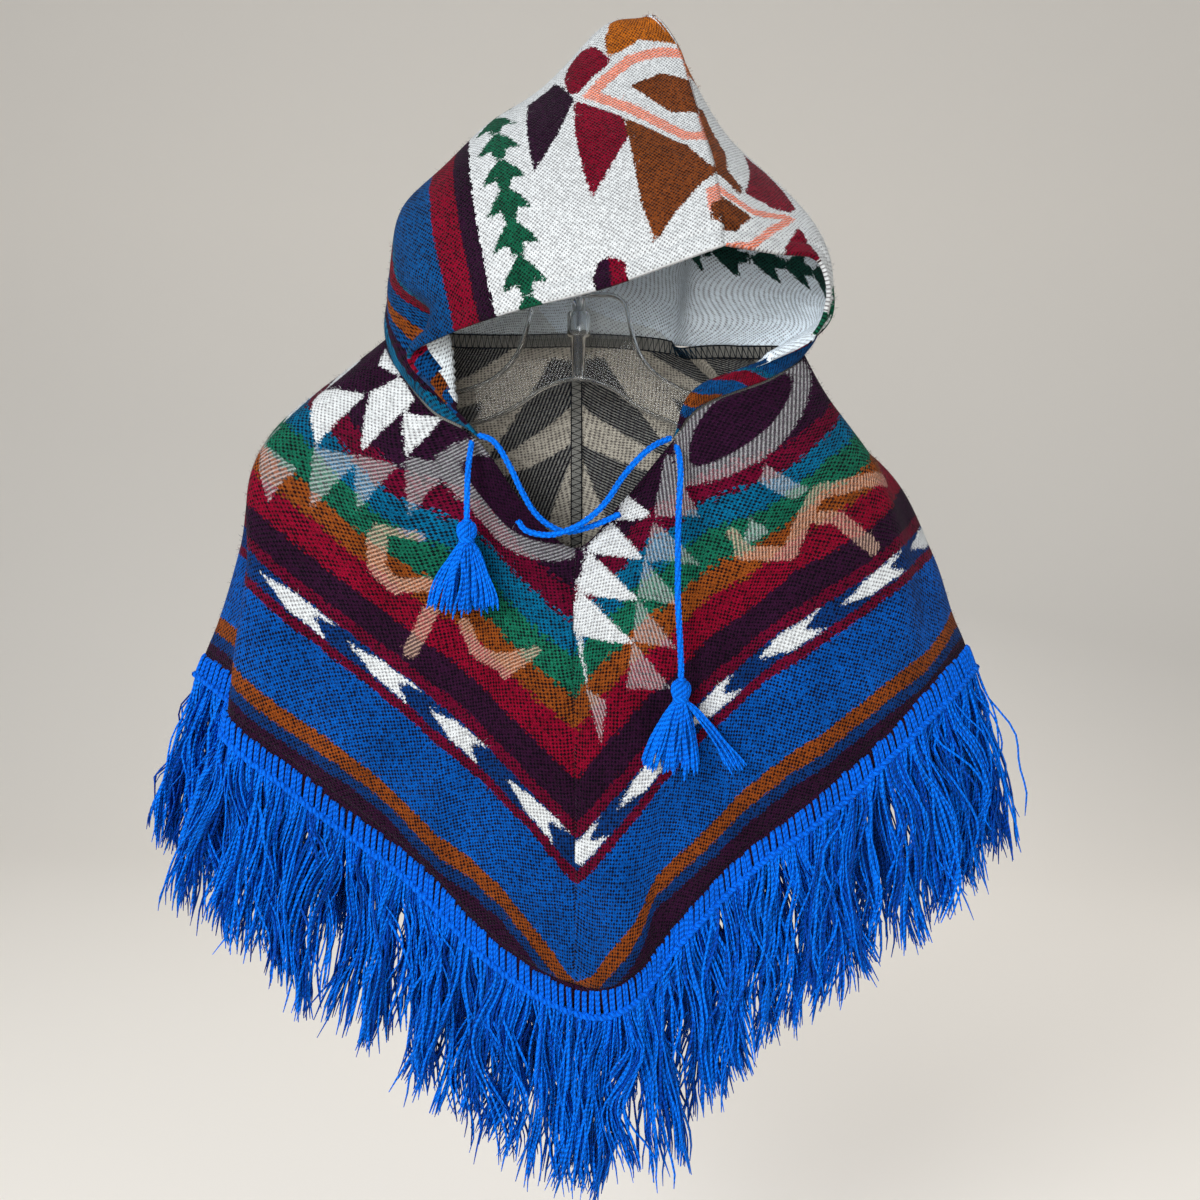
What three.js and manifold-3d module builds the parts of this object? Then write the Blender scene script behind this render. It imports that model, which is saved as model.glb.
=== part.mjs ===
// A child's hooded poncho of striped blanket cloth, hanging on a clear plastic hanger.
// Millimetres, +Z up. The origin is the inside top of the hanger's hook.
// +X is the viewer's right, and the front of the garment faces -Y.
import * as THREE from 'three';
import { mergeVertices } from 'three/addons/utils/BufferGeometryUtils.js';
import Module from 'manifold-3d';

const wasm = await Module();
wasm.setup();

// Driving dimensions
const CLOTH = 2.0;            // thickness of the brushed blanket cloth
const BAND_HEIGHT = 12.0;     // whipstitched edge, from the cloth's cut edge up
const BAND_THICKNESS = 3.4;   // cloth edge wrapped in yarn
const SEAM_GAP = 0.35;        // left between pieces that are sewn together
const BAND_GAP = 0.7;         // between the band and the cloth above it
const SEAM_STEP = 0.0004;     // the same gap as a share of the way round the body
const NECK_GAP = 1.1;         // upright gap at the slanting neck seam
const CORD_DIAMETER = 3.5;
const CORD_SIDES = 8;
const FRINGE_PITCH = 4.7;     // between locks, measured level
const FRINGE_LENGTH = 80;
const LOCK_RADIUS = 1.45;
const TASSEL_HEAD = 4.4;      // radius of the tied head
const TASSEL_LENGTH = 42;
const TASSEL_WIDTH = 17;      // half width of the skirt at its ends
const TASSEL_DEPTH = 5;       // half depth of the skirt at its ends
const HOOK_WIRE = 1.7;        // radius of the hook's wire
const HOOK_RADIUS = 19;       // of the hook's bend, to the middle of the wire
const HANGER_DEPTH = 7;       // of the hanger's rim, front to back
const HANGER_RIM = 2.2;
const HANGER_WEB = 1.6;

const BODY_COLUMNS = 40;      // samples round each half
const BODY_ROWS = 10;
const HOOD_COLUMNS = 20;
const HOOD_ROWS = 14;

const vec = (p) => new THREE.Vector3(p[0], p[1], p[2]);
const smooth = (points, closed = false) => new THREE.CatmullRomCurve3(points, closed, 'catmullrom', 0.5);

// Upright lines of the body, from the hem to the neck: a row for each seam, fold and panel middle,
// in order round the garment from the centre front by the wearer's right to the centre back and on.
const BODY_LINES = [
  { name: 'centre front', hem: [5, -38, -396], low: [5, -43, -340],
    mid: [4, -43, -280], high: [2, -38, -225], neck: [2, -30, -184] },
  { name: 'left inner', hem: [-30, -38, -377], low: [-29, -43, -330],
    mid: [-28, -42, -275], high: [-25, -37, -212], neck: [-21, -30, -165] },
  { name: 'left hood corner', hem: [-74, -38, -336], low: [-68, -43, -295],
    mid: [-60, -41, -245], high: [-51, -36, -185], neck: [-44, -31, -135] },
  { name: 'left outer', hem: [-120, -40, -302], low: [-113, -43, -262],
    mid: [-104, -39, -215], high: [-92, -32, -160], neck: [-66, -29, -122] },
  { name: 'left front fold', hem: [-157, -39, -274], low: [-153, -38, -240],
    mid: [-148, -32, -200], high: [-145, -14, -145], neck: [-84, -22, -101] },
  { name: 'left trough', hem: [-160, -16, -263], low: [-154, -14, -228],
    mid: [-151, -9, -190], high: [-151, -5, -138], neck: [-91, -12, -88] },
  { name: 'left ridge', hem: [-188, 4, -249], low: [-178, 4, -222],
    mid: [-166, 3, -186], high: [-153, 1, -134], neck: [-88, -4, -82] },
  { name: 'left back edge', hem: [-172, 16, -262], low: [-164, 15, -232],
    mid: [-156, 12, -194], high: [-144, 8, -138], neck: [-74, 5, -81] },
  { name: 'left back outer', hem: [-118, 23, -301], low: [-110, 23, -262],
    mid: [-102, 20, -212], high: [-92, 17, -145], neck: [-55, 17, -81] },
  { name: 'left back inner', hem: [-56, 27, -348], low: [-54, 28, -300],
    mid: [-50, 27, -240], high: [-44, 25, -160], neck: [-30, 26, -80] },
  { name: 'centre back', hem: [1, 28, -391], low: [0, 30, -330],
    mid: [-1, 30, -250], high: [-2, 28, -150], neck: [-3, 28, -79] },
  { name: 'right back inner', hem: [58, 27, -345], low: [56, 28, -300],
    mid: [52, 27, -240], high: [44, 25, -160], neck: [22, 27, -80] },
  { name: 'right back outer', hem: [120, 22, -298], low: [112, 22, -260],
    mid: [103, 20, -212], high: [90, 17, -150], neck: [46, 20, -83] },
  { name: 'right back edge', hem: [176, 14, -252], low: [166, 14, -224],
    mid: [154, 12, -192], high: [136, 8, -148], neck: [56, 4, -87] },
  { name: 'right ridge', hem: [191, 0, -238], low: [182, 0, -214],
    mid: [170, 0, -184], high: [147, 1, -143], neck: [80, -8, -89] },
  { name: 'right front fold', hem: [162, -30, -261], low: [154, -32, -232],
    mid: [146, -29, -196], high: [136, -14, -150], neck: [105, -24, -94] },
  { name: 'right outer', hem: [124, -38, -297], low: [117, -42, -258],
    mid: [108, -39, -212], high: [98, -33, -155], neck: [90, -31, -107] },
  { name: 'right trough', hem: [84, -37, -330], low: [79, -41, -290],
    mid: [72, -41, -240], high: [62, -35, -170], neck: [60, -30, -119] },
  { name: 'right hood corner', hem: [51, -35, -366], low: [52, -38, -326],
    mid: [50, -40, -270], high: [44, -36, -195], neck: [46, -31, -135] },
  { name: 'right inner', hem: [30, -44, -391], low: [28, -46, -345],
    mid: [27, -43, -285], high: [22, -37, -212], neck: [23, -30, -163] },
];
const LINES = BODY_LINES.length;
const BACK_LINE = 10;
const RIDGE_LINE = { left: 6, right: 14 };
const CORNER_LINE = { left: 2, right: 18 };

// Rows of each hood panel from the neck seam up to the crown, each from the face edge to the centre seam
const HOOD_ROW_NAMES = ['collar', 'cheek', 'temple', 'crest', 'brow', 'crown'];
const CROWN = [[66, -75, -57], [65, -65, -37], [62, -49, -14], [57, -32, 8], [52, -18, 31],
  [46, -6, 53], [33, 4, 71]];
const HOOD_LEFT = {
  collar: [[-62, -33, -115], [-79, -31, -99], [-90, -18, -77], [-87, 1, -66], [-61, 16, -62],
    [-36, 27, -58], [0, 30, -52]],
  cheek: [[-75, -38, -99], [-85, -31, -79], [-88, -14, -50], [-81, 4, -38], [-56, 18, -34],
    [-26, 28, -28], [6, 30, -20]],
  temple: [[-54, -50, -90], [-70, -45, -62], [-79, -27, -28], [-68, -4, -8], [-44, 12, 4],
    [-14, 24, 11], [13, 27, 17]],
  crest: [[-22, -62, -82], [-32, -55, -52], [-40, -40, -14], [-38, -18, 15], [-24, 0, 31],
    [-2, 14, 42], [18, 21, 46]],
  brow: [[16, -70, -74], [12, -62, -46], [8, -48, -14], [4, -32, 14], [2, -14, 42], [8, 2, 60],
    [24, 14, 63]],
  crown: CROWN,
};
const HOOD_RIGHT = {
  collar: [[57, -32, -110], [86, -34, -99], [111, -29, -85], [94, -13, -77], [57, -1, -73],
    [45, 21, -62], [0, 30, -52]],
  cheek: [[103, -34, -93], [115, -34, -82], [114, -22, -66], [95, -8, -56], [59, 0, -50],
    [47, 21, -36], [6, 30, -20]],
  temple: [[114, -44, -75], [116, -36, -60], [108, -20, -42], [90, -4, -28], [66, 9, -17],
    [46, 21, -4], [13, 27, 17]],
  crest: [[108, -53, -58], [108, -42, -44], [99, -26, -24], [84, -8, -6], [66, 6, 10], [44, 17, 27],
    [18, 21, 46]],
  brow: [[88, -66, -58], [89, -53, -40], [82, -39, -20], [73, -24, -1], [62, -9, 20], [49, 5, 40],
    [24, 14, 63]],
  crown: CROWN,
};

// Free cords, as routes of their middle lines
const CORD_ROUTES = {
  cord_left: [[-46, -33.4, -136.5], [-46, -37.4, -142], [-46.2, -41, -150], [-46, -44, -160],
    [-45.6, -46.5, -168],
    [-45.5, -47, -172.9]],
  cord_right: [[47.6, -33.4, -137.5], [49, -37.6, -142.8], [49.6, -41.4, -151], [49.1, -44.6, -165],
    [48.9, -47.2, -179.5], [49.1, -48.8, -194], [49.3, -49.9, -207], [50.5, -51, -224.5],
    [51.1, -51.6, -235.5],
    [51.2, -51.8, -241.8]],
  cord_left_inner: [[-42.9, -31.7, -133.1], [-35, -35.8, -136.8], [-28, -37.6, -147.2],
    [-21.9, -37.6, -159.3],
    [-15.5, -37, -169.2], [-7.3, -36.2, -175.4], [0.4, -35.8, -176.9], [11.7, -35.8, -173.6],
    [22.6, -36.4, -168.7]],
  cord_right_inner: [[45, -31.8, -133.6], [38, -35.6, -137.2], [31.4, -38.6, -143], [23.9, -40, -152],
    [16.9, -40.3, -162.8], [10.7, -40.1, -169.3], [2.6, -39.9, -174.9], [-8.7, -39.8, -178.6],
    [-19.2, -39.6, -177],
    [-23.5, -39.4, -172.4]],
};
const TASSELS = {
  tassel_left: { top: [-45.5, -47, -173.2], lean: -2, splay: 0 },
  tassel_right: { top: [51.2, -51.8, -242.1], lean: -2, splay: 16 },
};

const YARN = new THREE.MeshStandardMaterial({ color: 0x1464e6, roughness: 0.85, metalness: 0 });
const STRIPED = new THREE.MeshStandardMaterial({ color: 0x1e5091, roughness: 0.95, metalness: 0 });
const CREAM = new THREE.MeshStandardMaterial({ color: 0xe1dcd2, roughness: 0.95, metalness: 0 });
const CLEAR = new THREE.MeshStandardMaterial({ color: 0xe6ecf0, roughness: 0.1, metalness: 0 });
CLEAR.transparent = true;
CLEAR.opacity = 0.4;
const STEEL = new THREE.MeshStandardMaterial({ color: 0xbfc3c7, roughness: 0.25, metalness: 1 });

const garment = new THREE.Group();

function addMesh(name, geometry, material) {
  const mesh = new THREE.Mesh(geometry, material);
  mesh.name = name;
  garment.add(mesh);
}

// Solids for joins and cuts
function toSolid(geometry) {
  const bare = geometry.clone();
  bare.deleteAttribute('normal');
  bare.deleteAttribute('uv');
  const merged = mergeVertices(bare, 1e-4);
  return new wasm.Manifold(new wasm.Mesh({
    numProp: 3,
    vertProperties: new Float32Array(merged.attributes.position.array),
    triVerts: new Uint32Array(merged.index.array),
  }));
}

function toGeometry(solid) {
  const mesh = solid.getMesh();
  const geometry = new THREE.BufferGeometry();
  geometry.setAttribute('position', new THREE.BufferAttribute(new Float32Array(mesh.vertProperties), 3));
  geometry.setIndex(new THREE.BufferAttribute(new Uint32Array(mesh.triVerts), 1));
  return geometry;
}

function signedVolume(points, faces) {
  let volume = 0;
  for (const [a, b, c] of faces) {
    volume += points[a].dot(points[b].clone().cross(points[c]));
  }
  return volume / 6;
}

function closedGeometry(points, faces) {
  const outward = signedVolume(points, faces) > 0 ? faces : faces.map(([a, b, c]) => [a, c, b]);
  const geometry = new THREE.BufferGeometry().setFromPoints(points);
  geometry.setIndex(outward.flat());
  return geometry;
}

// A grid's unit normals, from the differences to the neighbouring points
function gridNormals(grid) {
  return grid.map((line, i) => line.map((_, j) => {
    const along = grid[Math.min(i + 1, grid.length - 1)][j].clone().sub(grid[Math.max(i - 1, 0)][j]);
    const up = line[Math.min(j + 1, line.length - 1)].clone().sub(line[Math.max(j - 1, 0)]);
    return along.cross(up).normalize();
  }));
}

// A closed wall between two grids of points, an outer one and an inner one
function wallBetween(outer, inner) {
  const rows = outer[0].length;
  const points = [...outer.flat(), ...inner.flat()];
  const offset = outer.length * rows;
  const faces = [];
  const quad = (a, b, c, d) => faces.push([a, b, c], [a, c, d]);
  for (let i = 0; i + 1 < outer.length; i += 1) {
    for (let j = 0; j + 1 < rows; j += 1) {
      const a = i * rows + j;
      quad(a, a + rows, a + rows + 1, a + 1);
      quad(offset + a, offset + a + 1, offset + a + rows + 1, offset + a + rows);
    }
  }
  const rim = [];
  for (let i = 0; i < outer.length - 1; i += 1) rim.push(i * rows);
  for (let j = 0; j < rows - 1; j += 1) rim.push((outer.length - 1) * rows + j);
  for (let i = outer.length - 1; i > 0; i -= 1) rim.push(i * rows + rows - 1);
  for (let j = rows - 1; j > 0; j -= 1) rim.push(j);
  rim.forEach((a, k) => {
    const b = rim[(k + 1) % rim.length];
    quad(a, a + offset, b + offset, b);
  });
  return closedGeometry(points, faces);
}

function moved(grid, normals, distance) {
  return grid.map((line, i) => line.map((p, j) => p.clone().addScaledVector(normals[i][j], distance)));
}

// The body: its upright lines by length from the hem, then a closed curve across them
const bodySpines = BODY_LINES.map(
  ({ hem, low, mid, high, neck }) => smooth([hem, low, mid, high, neck].map(vec)),
);
const bodyLengths = bodySpines.map((spine) => spine.getLength());
const BODY_NORMAL_SIDE = -1;  // turns the grid's normals to the outside

function bodyPoint(around, share) {
  return smooth(bodySpines.map((spine) => spine.getPointAt(share)), true).getPoint(around);
}

// A point at a height above the cut edge in the first few centimetres
function bodyHemPoint(around, height) {
  const points = bodySpines.map((spine, k) => spine.getPointAt(height / bodyLengths[k]));
  return smooth(points, true).getPoint(around);
}

// Rows from just above the whipstitched edge to the neck seam
function bodyRowPoint(around, row) {
  const points = bodySpines.map((spine, k) => {
    const foot = (BAND_HEIGHT + BAND_GAP) / bodyLengths[k];
    return spine.getPointAt(foot + (1 - foot) * row);
  });
  return smooth(points, true).getPoint(around);
}

function spread(from, to, count) {
  return Array.from({ length: count + 1 }, (_, k) => from + ((to - from) * k) / count);
}

function bodyHalf(from, to) {
  const grid = spread(from, to, BODY_COLUMNS).map(
    (around) => spread(0, 1, BODY_ROWS).map((row) => bodyRowPoint(around, row)),
  );
  const side = to > from ? BODY_NORMAL_SIDE : -BODY_NORMAL_SIDE;
  return wallBetween(grid, moved(grid, gridNormals(grid), -side * CLOTH));
}

addMesh('body_left', bodyHalf(SEAM_STEP, 0.5 - SEAM_STEP), STRIPED);
addMesh('body_right', bodyHalf(1 - SEAM_STEP, 0.5 + SEAM_STEP), STRIPED);

// The hood panels: the lowest row follows the body's neck edge
function neckRow(corner, u) {
  const around = corner + (BACK_LINE - corner) * u;
  return bodyPoint(around / LINES, 1).add(new THREE.Vector3(0, 0, NECK_GAP));
}

function hoodPoint(rows, corner, u, v) {
  const across = HOOD_ROW_NAMES.map((name) => smooth(rows[name].map(vec)).getPoint(u));
  return smooth([neckRow(corner, u), ...across]).getPoint(v);
}

function hoodGrid(rows, corner) {
  return spread(0, 1, HOOD_COLUMNS).map(
    (u) => spread(0, 1, HOOD_ROWS).map((v) => hoodPoint(rows, corner, u, v)),
  );
}

const hoodGrids = {
  hood_left: hoodGrid(HOOD_LEFT, CORNER_LINE.left),
  hood_right: hoodGrid(HOOD_RIGHT, CORNER_LINE.right),
};
const hoodNormals = {
  hood_left: gridNormals(hoodGrids.hood_left),
  hood_right: gridNormals(hoodGrids.hood_right).map((line) => line.map((n) => n.negate())),
};

// The two panels meet on the centre back (last column) and the crown (last row), mitred there
function isSeam(i, j) {
  return i === HOOD_COLUMNS || j === HOOD_ROWS;
}

function hoodPanel(name, other) {
  const grid = hoodGrids[name];
  const inner = grid.map((line, i) => line.map((p, j) => {
    const own = hoodNormals[name][i][j];
    if (!isSeam(i, j)) return p.clone().addScaledVector(own, CLOTH);
    const mitre = own.clone().add(hoodNormals[other][i][j]).normalize();
    return p.clone().addScaledVector(mitre, CLOTH / Math.max(mitre.dot(own), 0.7));
  }));
  const shift = (points) => points.map((line, i) => line.map((p, j) => {
    if (!isSeam(i, j)) return p;
    const neighbour = points[Math.min(i, HOOD_COLUMNS - 1)][Math.min(j, HOOD_ROWS - 1)];
    return p.clone().addScaledVector(neighbour.clone().sub(p).normalize(), SEAM_GAP / 2);
  }));
  return wallBetween(shift(grid), shift(inner));
}

addMesh('hood_left', hoodPanel('hood_left', 'hood_right'), CREAM);
addMesh('hood_right', hoodPanel('hood_right', 'hood_left'), CREAM);

// A lock of yarn: a tapered prism along a short curve
function lock(path, rootRadius, tipRadius, sides) {
  const rings = path.map((p, k) => {
    const radius = rootRadius + ((tipRadius - rootRadius) * k) / (path.length - 1);
    return Array.from({ length: sides }, (_, s) => {
      const angle = (2 * Math.PI * s) / sides;
      return new THREE.Vector3(p.x + radius * Math.cos(angle), p.y + radius * Math.sin(angle), p.z);
    });
  });
  const faces = [];
  for (let k = 0; k + 1 < rings.length; k += 1) {
    for (let s = 0; s < sides; s += 1) {
      const a = k * sides + s;
      const b = k * sides + ((s + 1) % sides);
      faces.push([a, b, b + sides], [a, b + sides, a + sides]);
    }
  }
  const last = (rings.length - 1) * sides;
  for (let s = 1; s + 1 < sides; s += 1) {
    faces.push([0, s + 1, s], [last, last + s, last + s + 1]);
  }
  return closedGeometry(rings.flat(), faces);
}

// The whipstitched edge with its fringe, for one stretch of the hem
const BAND_ROWS = 2;
const FRINGE_FAN = 0.075;     // sideways spread of the fringe for each millimetre from the middle
const LOCK_WAVE = 1.1;

function hemBand(from, to) {
  const columns = Math.max(8, Math.round(Math.abs(to - from) * 80));
  const step = (to - from) / columns;
  const wide = spread(from - step, to + step, columns + 2).map(
    (around) => spread(0, BAND_HEIGHT, BAND_ROWS).map((height) => bodyHemPoint((around + 1) % 1, height)),
  );
  const side = to > from ? BODY_NORMAL_SIDE : -BODY_NORMAL_SIDE;
  const grid = wide.slice(1, -1);
  const normals = gridNormals(wide).slice(1, -1);
  const proud = (BAND_THICKNESS - CLOTH) / 2;
  const front = moved(grid, normals, side * proud);
  const back = moved(grid, normals, -side * (CLOTH + proud));
  let band = toSolid(wallBetween(front, back));
  const samples = spread(from, to, 400).map((around) => bodyHemPoint(around, 3));
  let travelled = FRINGE_PITCH / 2;
  let count = 0;
  for (let k = 1; k < samples.length; k += 1) {
    travelled += Math.hypot(samples[k].x - samples[k - 1].x, samples[k].y - samples[k - 1].y);
    if (travelled >= FRINGE_PITCH) {
      travelled -= FRINGE_PITCH;
      count += 1;
      const row = Math.round((k / 400) * columns);
      const middle = normals[row][0].clone().multiplyScalar(-side * CLOTH / 2);
      const root = samples[k].clone().add(middle);
      const fan = root.x * FRINGE_FAN;
      const wave = LOCK_WAVE * Math.sin(count * 2.4);
      const length = FRINGE_LENGTH + 3 * Math.sin(count * 1.7);
      const path = [
        root,
        new THREE.Vector3(root.x + fan * 0.3, root.y + wave * 0.5, root.z - length * 0.35),
        new THREE.Vector3(root.x + fan * 0.7, root.y + wave, root.z - length * 0.72),
        new THREE.Vector3(root.x + fan, root.y + wave * 0.4, root.z - length),
      ];
      band = band.add(toSolid(lock(path, LOCK_RADIUS, LOCK_RADIUS * 0.55, 3)));
    }
  }
  return toGeometry(band);
}

const FRONT = SEAM_STEP;
const BACK = BACK_LINE / LINES;
addMesh('hem_band_front_left', hemBand(FRONT, RIDGE_LINE.left / LINES - SEAM_STEP), YARN);
addMesh('hem_band_back_left', hemBand(BACK - SEAM_STEP, RIDGE_LINE.left / LINES + SEAM_STEP), YARN);
addMesh('hem_band_front_right', hemBand(1 - FRONT, RIDGE_LINE.right / LINES + SEAM_STEP), YARN);
addMesh('hem_band_back_right', hemBand(BACK + SEAM_STEP, RIDGE_LINE.right / LINES - SEAM_STEP), YARN);

// Cords
function circleShape(radius, sides) {
  const corners = Array.from({ length: sides }, (_, k) => {
    const angle = (2 * Math.PI * k) / sides;
    return new THREE.Vector2(radius * Math.cos(angle), radius * Math.sin(angle));
  });
  return new THREE.Shape(corners);
}

for (const [name, route] of Object.entries(CORD_ROUTES)) {
  const path = smooth(route.map(vec));
  const steps = Math.round(path.getLength() / 6);
  const round = circleShape(CORD_DIAMETER / 2, CORD_SIDES);
  const tube = new THREE.ExtrudeGeometry(round, { extrudePath: path, steps });
  addMesh(name, tube, YARN);
}

// Tassels: a tied head, and a skirt of locks in two rings
const TASSEL_HEAD_PROFILE = [
  { radius: 0, z: -14 },
  { radius: 3.4, z: -14 },
  { radius: 3.6, z: -10.5 },
  { radius: 3.0, z: -8.4 },
  { radius: TASSEL_HEAD, z: -5.6 },
  { radius: TASSEL_HEAD, z: -3.6 },
  { radius: 2.4, z: -0.4 },
  { radius: 0, z: 0 },
];
const SKIRT_RINGS = [{ locks: 12, share: 1 }, { locks: 8, share: 0.5 }];
const SKIRT_COURSE = [
  { wide: 2.2, deep: 2.2, drop: 9 },
  { wide: TASSEL_WIDTH * 0.55, deep: TASSEL_DEPTH * 0.8, drop: 22 },
  { wide: TASSEL_WIDTH, deep: TASSEL_DEPTH, drop: TASSEL_LENGTH },
];
const SKIRT_LIFT = 4;          // the outermost locks end this much higher
const INNER_RING_LIFT = 8;     // and the inner ring ends higher by its missing share of this
const SKIRT_LOCK = { root: 1.0, tip: 0.8 };

function tassel({ top, lean, splay }) {
  const profile = TASSEL_HEAD_PROFILE.map(({ radius, z }) => new THREE.Vector2(radius, z));
  const head = new THREE.LatheGeometry(profile, 12).rotateX(Math.PI / 2);
  head.translate(top[0], top[1], top[2]);
  let solid = toSolid(head);
  for (const { locks, share } of SKIRT_RINGS) {
    for (let k = 0; k < locks; k += 1) {
      const angle = (2 * Math.PI * (k + 0.5)) / locks;
      const side = Math.cos(angle) * share;
      const depth = Math.sin(angle) * share;
      const sway = lean + (side > 0.9 ? splay : 0);
      const lift = SKIRT_LIFT * Math.abs(side) + INNER_RING_LIFT * (1 - share);
      const points = SKIRT_COURSE.map(({ wide, deep, drop }, step) => new THREE.Vector3(
        top[0] + side * wide + (sway * step) / 2,
        top[1] + depth * deep,
        top[2] - drop + (step === 2 ? lift : 0),
      ));
      solid = solid.add(toSolid(lock(points, SKIRT_LOCK.root, SKIRT_LOCK.tip, 3)));
    }
  }
  return toGeometry(solid);
}

for (const [name, values] of Object.entries(TASSELS)) {
  addMesh(name, tassel(values), YARN);
}

// The hanger: a flat plate between its upper and lower rims, with a tower round the hook's socket
const HANGER_UPPER = [[9, -61], [17, -61.5], [23, -66], [26, -77], [30, -89], [37, -98], [46, -104],
  [60, -109], [100, -122], [140, -135], [146, -138]];
const HANGER_LOWER = [[147, -142], [144, -147], [100, -138], [66, -130], [43, -123], [28, -116], [18, -109],
  [8, -104.5], [0, -103]];

// The cloth's weight tips the arms: how far each reaches and drops past the tower
const TOWER_HALF_WIDTH = 46;
const ARMS = { right: { sign: 1, reach: 0.93, drop: 0.05 }, left: { sign: -1, reach: 0.99, drop: -0.04 } };

function armPoint(p, { sign, reach, drop }) {
  const past = Math.max(p.x - TOWER_HALF_WIDTH, 0);
  return new THREE.Vector2(sign * (p.x - past + past * reach), p.y - past * drop);
}

function hangerOutline() {
  const upper = smooth(HANGER_UPPER.map(([x, z]) => new THREE.Vector3(x, z, 0))).getPoints(18);
  const lower = smooth(HANGER_LOWER.map(([x, z]) => new THREE.Vector3(x, z, 0))).getPoints(14);
  const half = [...upper, ...lower];
  const right = half.map((p) => armPoint(p, ARMS.right));
  const left = half.slice(0, -1).reverse().map((p) => armPoint(p, ARMS.left));
  return [...right, ...left];
}

function inset(outline, distance) {
  return outline.map((p, k) => {
    const before = outline[(k + outline.length - 1) % outline.length];
    const after = outline[(k + 1) % outline.length];
    const along = after.clone().sub(before).normalize();
    return new THREE.Vector2(p.x + along.y * distance, p.y - along.x * distance);
  });
}

function plate(outline, depth, middle) {
  const geometry = new THREE.ExtrudeGeometry(new THREE.Shape(outline), { depth, bevelEnabled: false });
  geometry.rotateX(Math.PI / 2);
  geometry.translate(0, middle + depth / 2, 0);
  return toSolid(geometry);
}

const ARM_TIP = 134;           // the pockets stop short of the rounded ends
const outline = hangerOutline();
const pocketDepth = (HANGER_DEPTH - HANGER_WEB) / 2;
const pocketMiddle = (HANGER_WEB + pocketDepth) / 2;
const pocket = inset(outline.filter((p) => Math.abs(p.x) < ARM_TIP), HANGER_RIM);
const SOCKET_TOP = -64;
const SOCKET_RADIUS = 3.2;
const COLLAR_RADIUS = 5.6;
const post = (radius, bottom, top) => {
  const geometry = new THREE.CylinderGeometry(radius, radius, top - bottom, 16);
  return toSolid(geometry.rotateX(Math.PI / 2).translate(0, 0, (top + bottom) / 2));
};
const BORE_BOTTOM = -80;
const BORE_CLEARANCE = 0.3;
const CUT_MARGIN = 0.01;
const hangerSolid = plate(outline, HANGER_DEPTH, 0)
  .subtract(plate(pocket, pocketDepth + CUT_MARGIN, pocketMiddle))
  .subtract(plate(pocket, pocketDepth + CUT_MARGIN, -pocketMiddle))
  .add(post(SOCKET_RADIUS, -103.5, SOCKET_TOP))
  .add(post(COLLAR_RADIUS, -82, -70))
  .subtract(post(HOOK_WIRE + BORE_CLEARANCE, BORE_BOTTOM, -50));
addMesh('hanger', toGeometry(hangerSolid), CLEAR);

// The hook: a straight shank, an offset bend and a round hook open on the right
const bendMiddle = HOOK_WIRE - HOOK_RADIUS;
const HOOK_START = 218;       // degrees, where the bend meets the shank
const HOOK_END = -28;
const hookPath = [
  [0, BORE_BOTTOM + 0.5], [0, -66], [0, -56], [-1, -47], [-6, -38],
];
const HOOK_STEP = 20.5;
for (let degrees = HOOK_START; degrees >= HOOK_END; degrees -= HOOK_STEP) {
  const angle = THREE.MathUtils.degToRad(degrees);
  hookPath.push([HOOK_RADIUS * Math.cos(angle), bendMiddle + HOOK_RADIUS * Math.sin(angle)]);
}
const hookCurve = smooth(hookPath.map(([x, z]) => new THREE.Vector3(x, 0, z)));
const hookWire = new THREE.ExtrudeGeometry(circleShape(HOOK_WIRE, 8), { extrudePath: hookCurve, steps: 34 });
const hookEnd = hookCurve.getPoint(1);
const hookBall = new THREE.SphereGeometry(HOOK_WIRE * 1.5, 8, 6).translate(hookEnd.x, hookEnd.y, hookEnd.z);
addMesh('hanger_hook', toGeometry(toSolid(hookWire).add(toSolid(hookBall))), STEEL);

export default garment;
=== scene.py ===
"""A child's hooded poncho of striped blanket cloth, hanging on a clear plastic hanger."""
import math

import bpy
import numpy as np
from mathutils import Matrix, Vector


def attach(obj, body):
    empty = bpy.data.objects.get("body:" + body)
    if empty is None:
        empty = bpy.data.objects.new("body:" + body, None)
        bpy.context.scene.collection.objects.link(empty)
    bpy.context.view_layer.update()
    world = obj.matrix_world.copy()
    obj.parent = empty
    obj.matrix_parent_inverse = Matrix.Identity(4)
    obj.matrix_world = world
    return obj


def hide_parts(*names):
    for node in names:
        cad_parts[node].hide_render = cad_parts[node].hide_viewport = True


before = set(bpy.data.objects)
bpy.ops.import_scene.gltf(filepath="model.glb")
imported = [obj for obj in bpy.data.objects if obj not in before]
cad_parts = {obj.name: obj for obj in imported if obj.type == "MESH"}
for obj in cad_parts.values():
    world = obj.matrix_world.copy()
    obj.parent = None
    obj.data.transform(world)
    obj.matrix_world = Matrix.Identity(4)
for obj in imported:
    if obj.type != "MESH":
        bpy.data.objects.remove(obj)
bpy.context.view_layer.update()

rng = np.random.default_rng(7)
MM = 0.001
CIRCLE = 2 * math.pi

# ---- camera, light and floor

scene = bpy.context.scene


def turn(axis, degrees):
    return Matrix.Rotation(math.radians(degrees), 3, axis)


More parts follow.
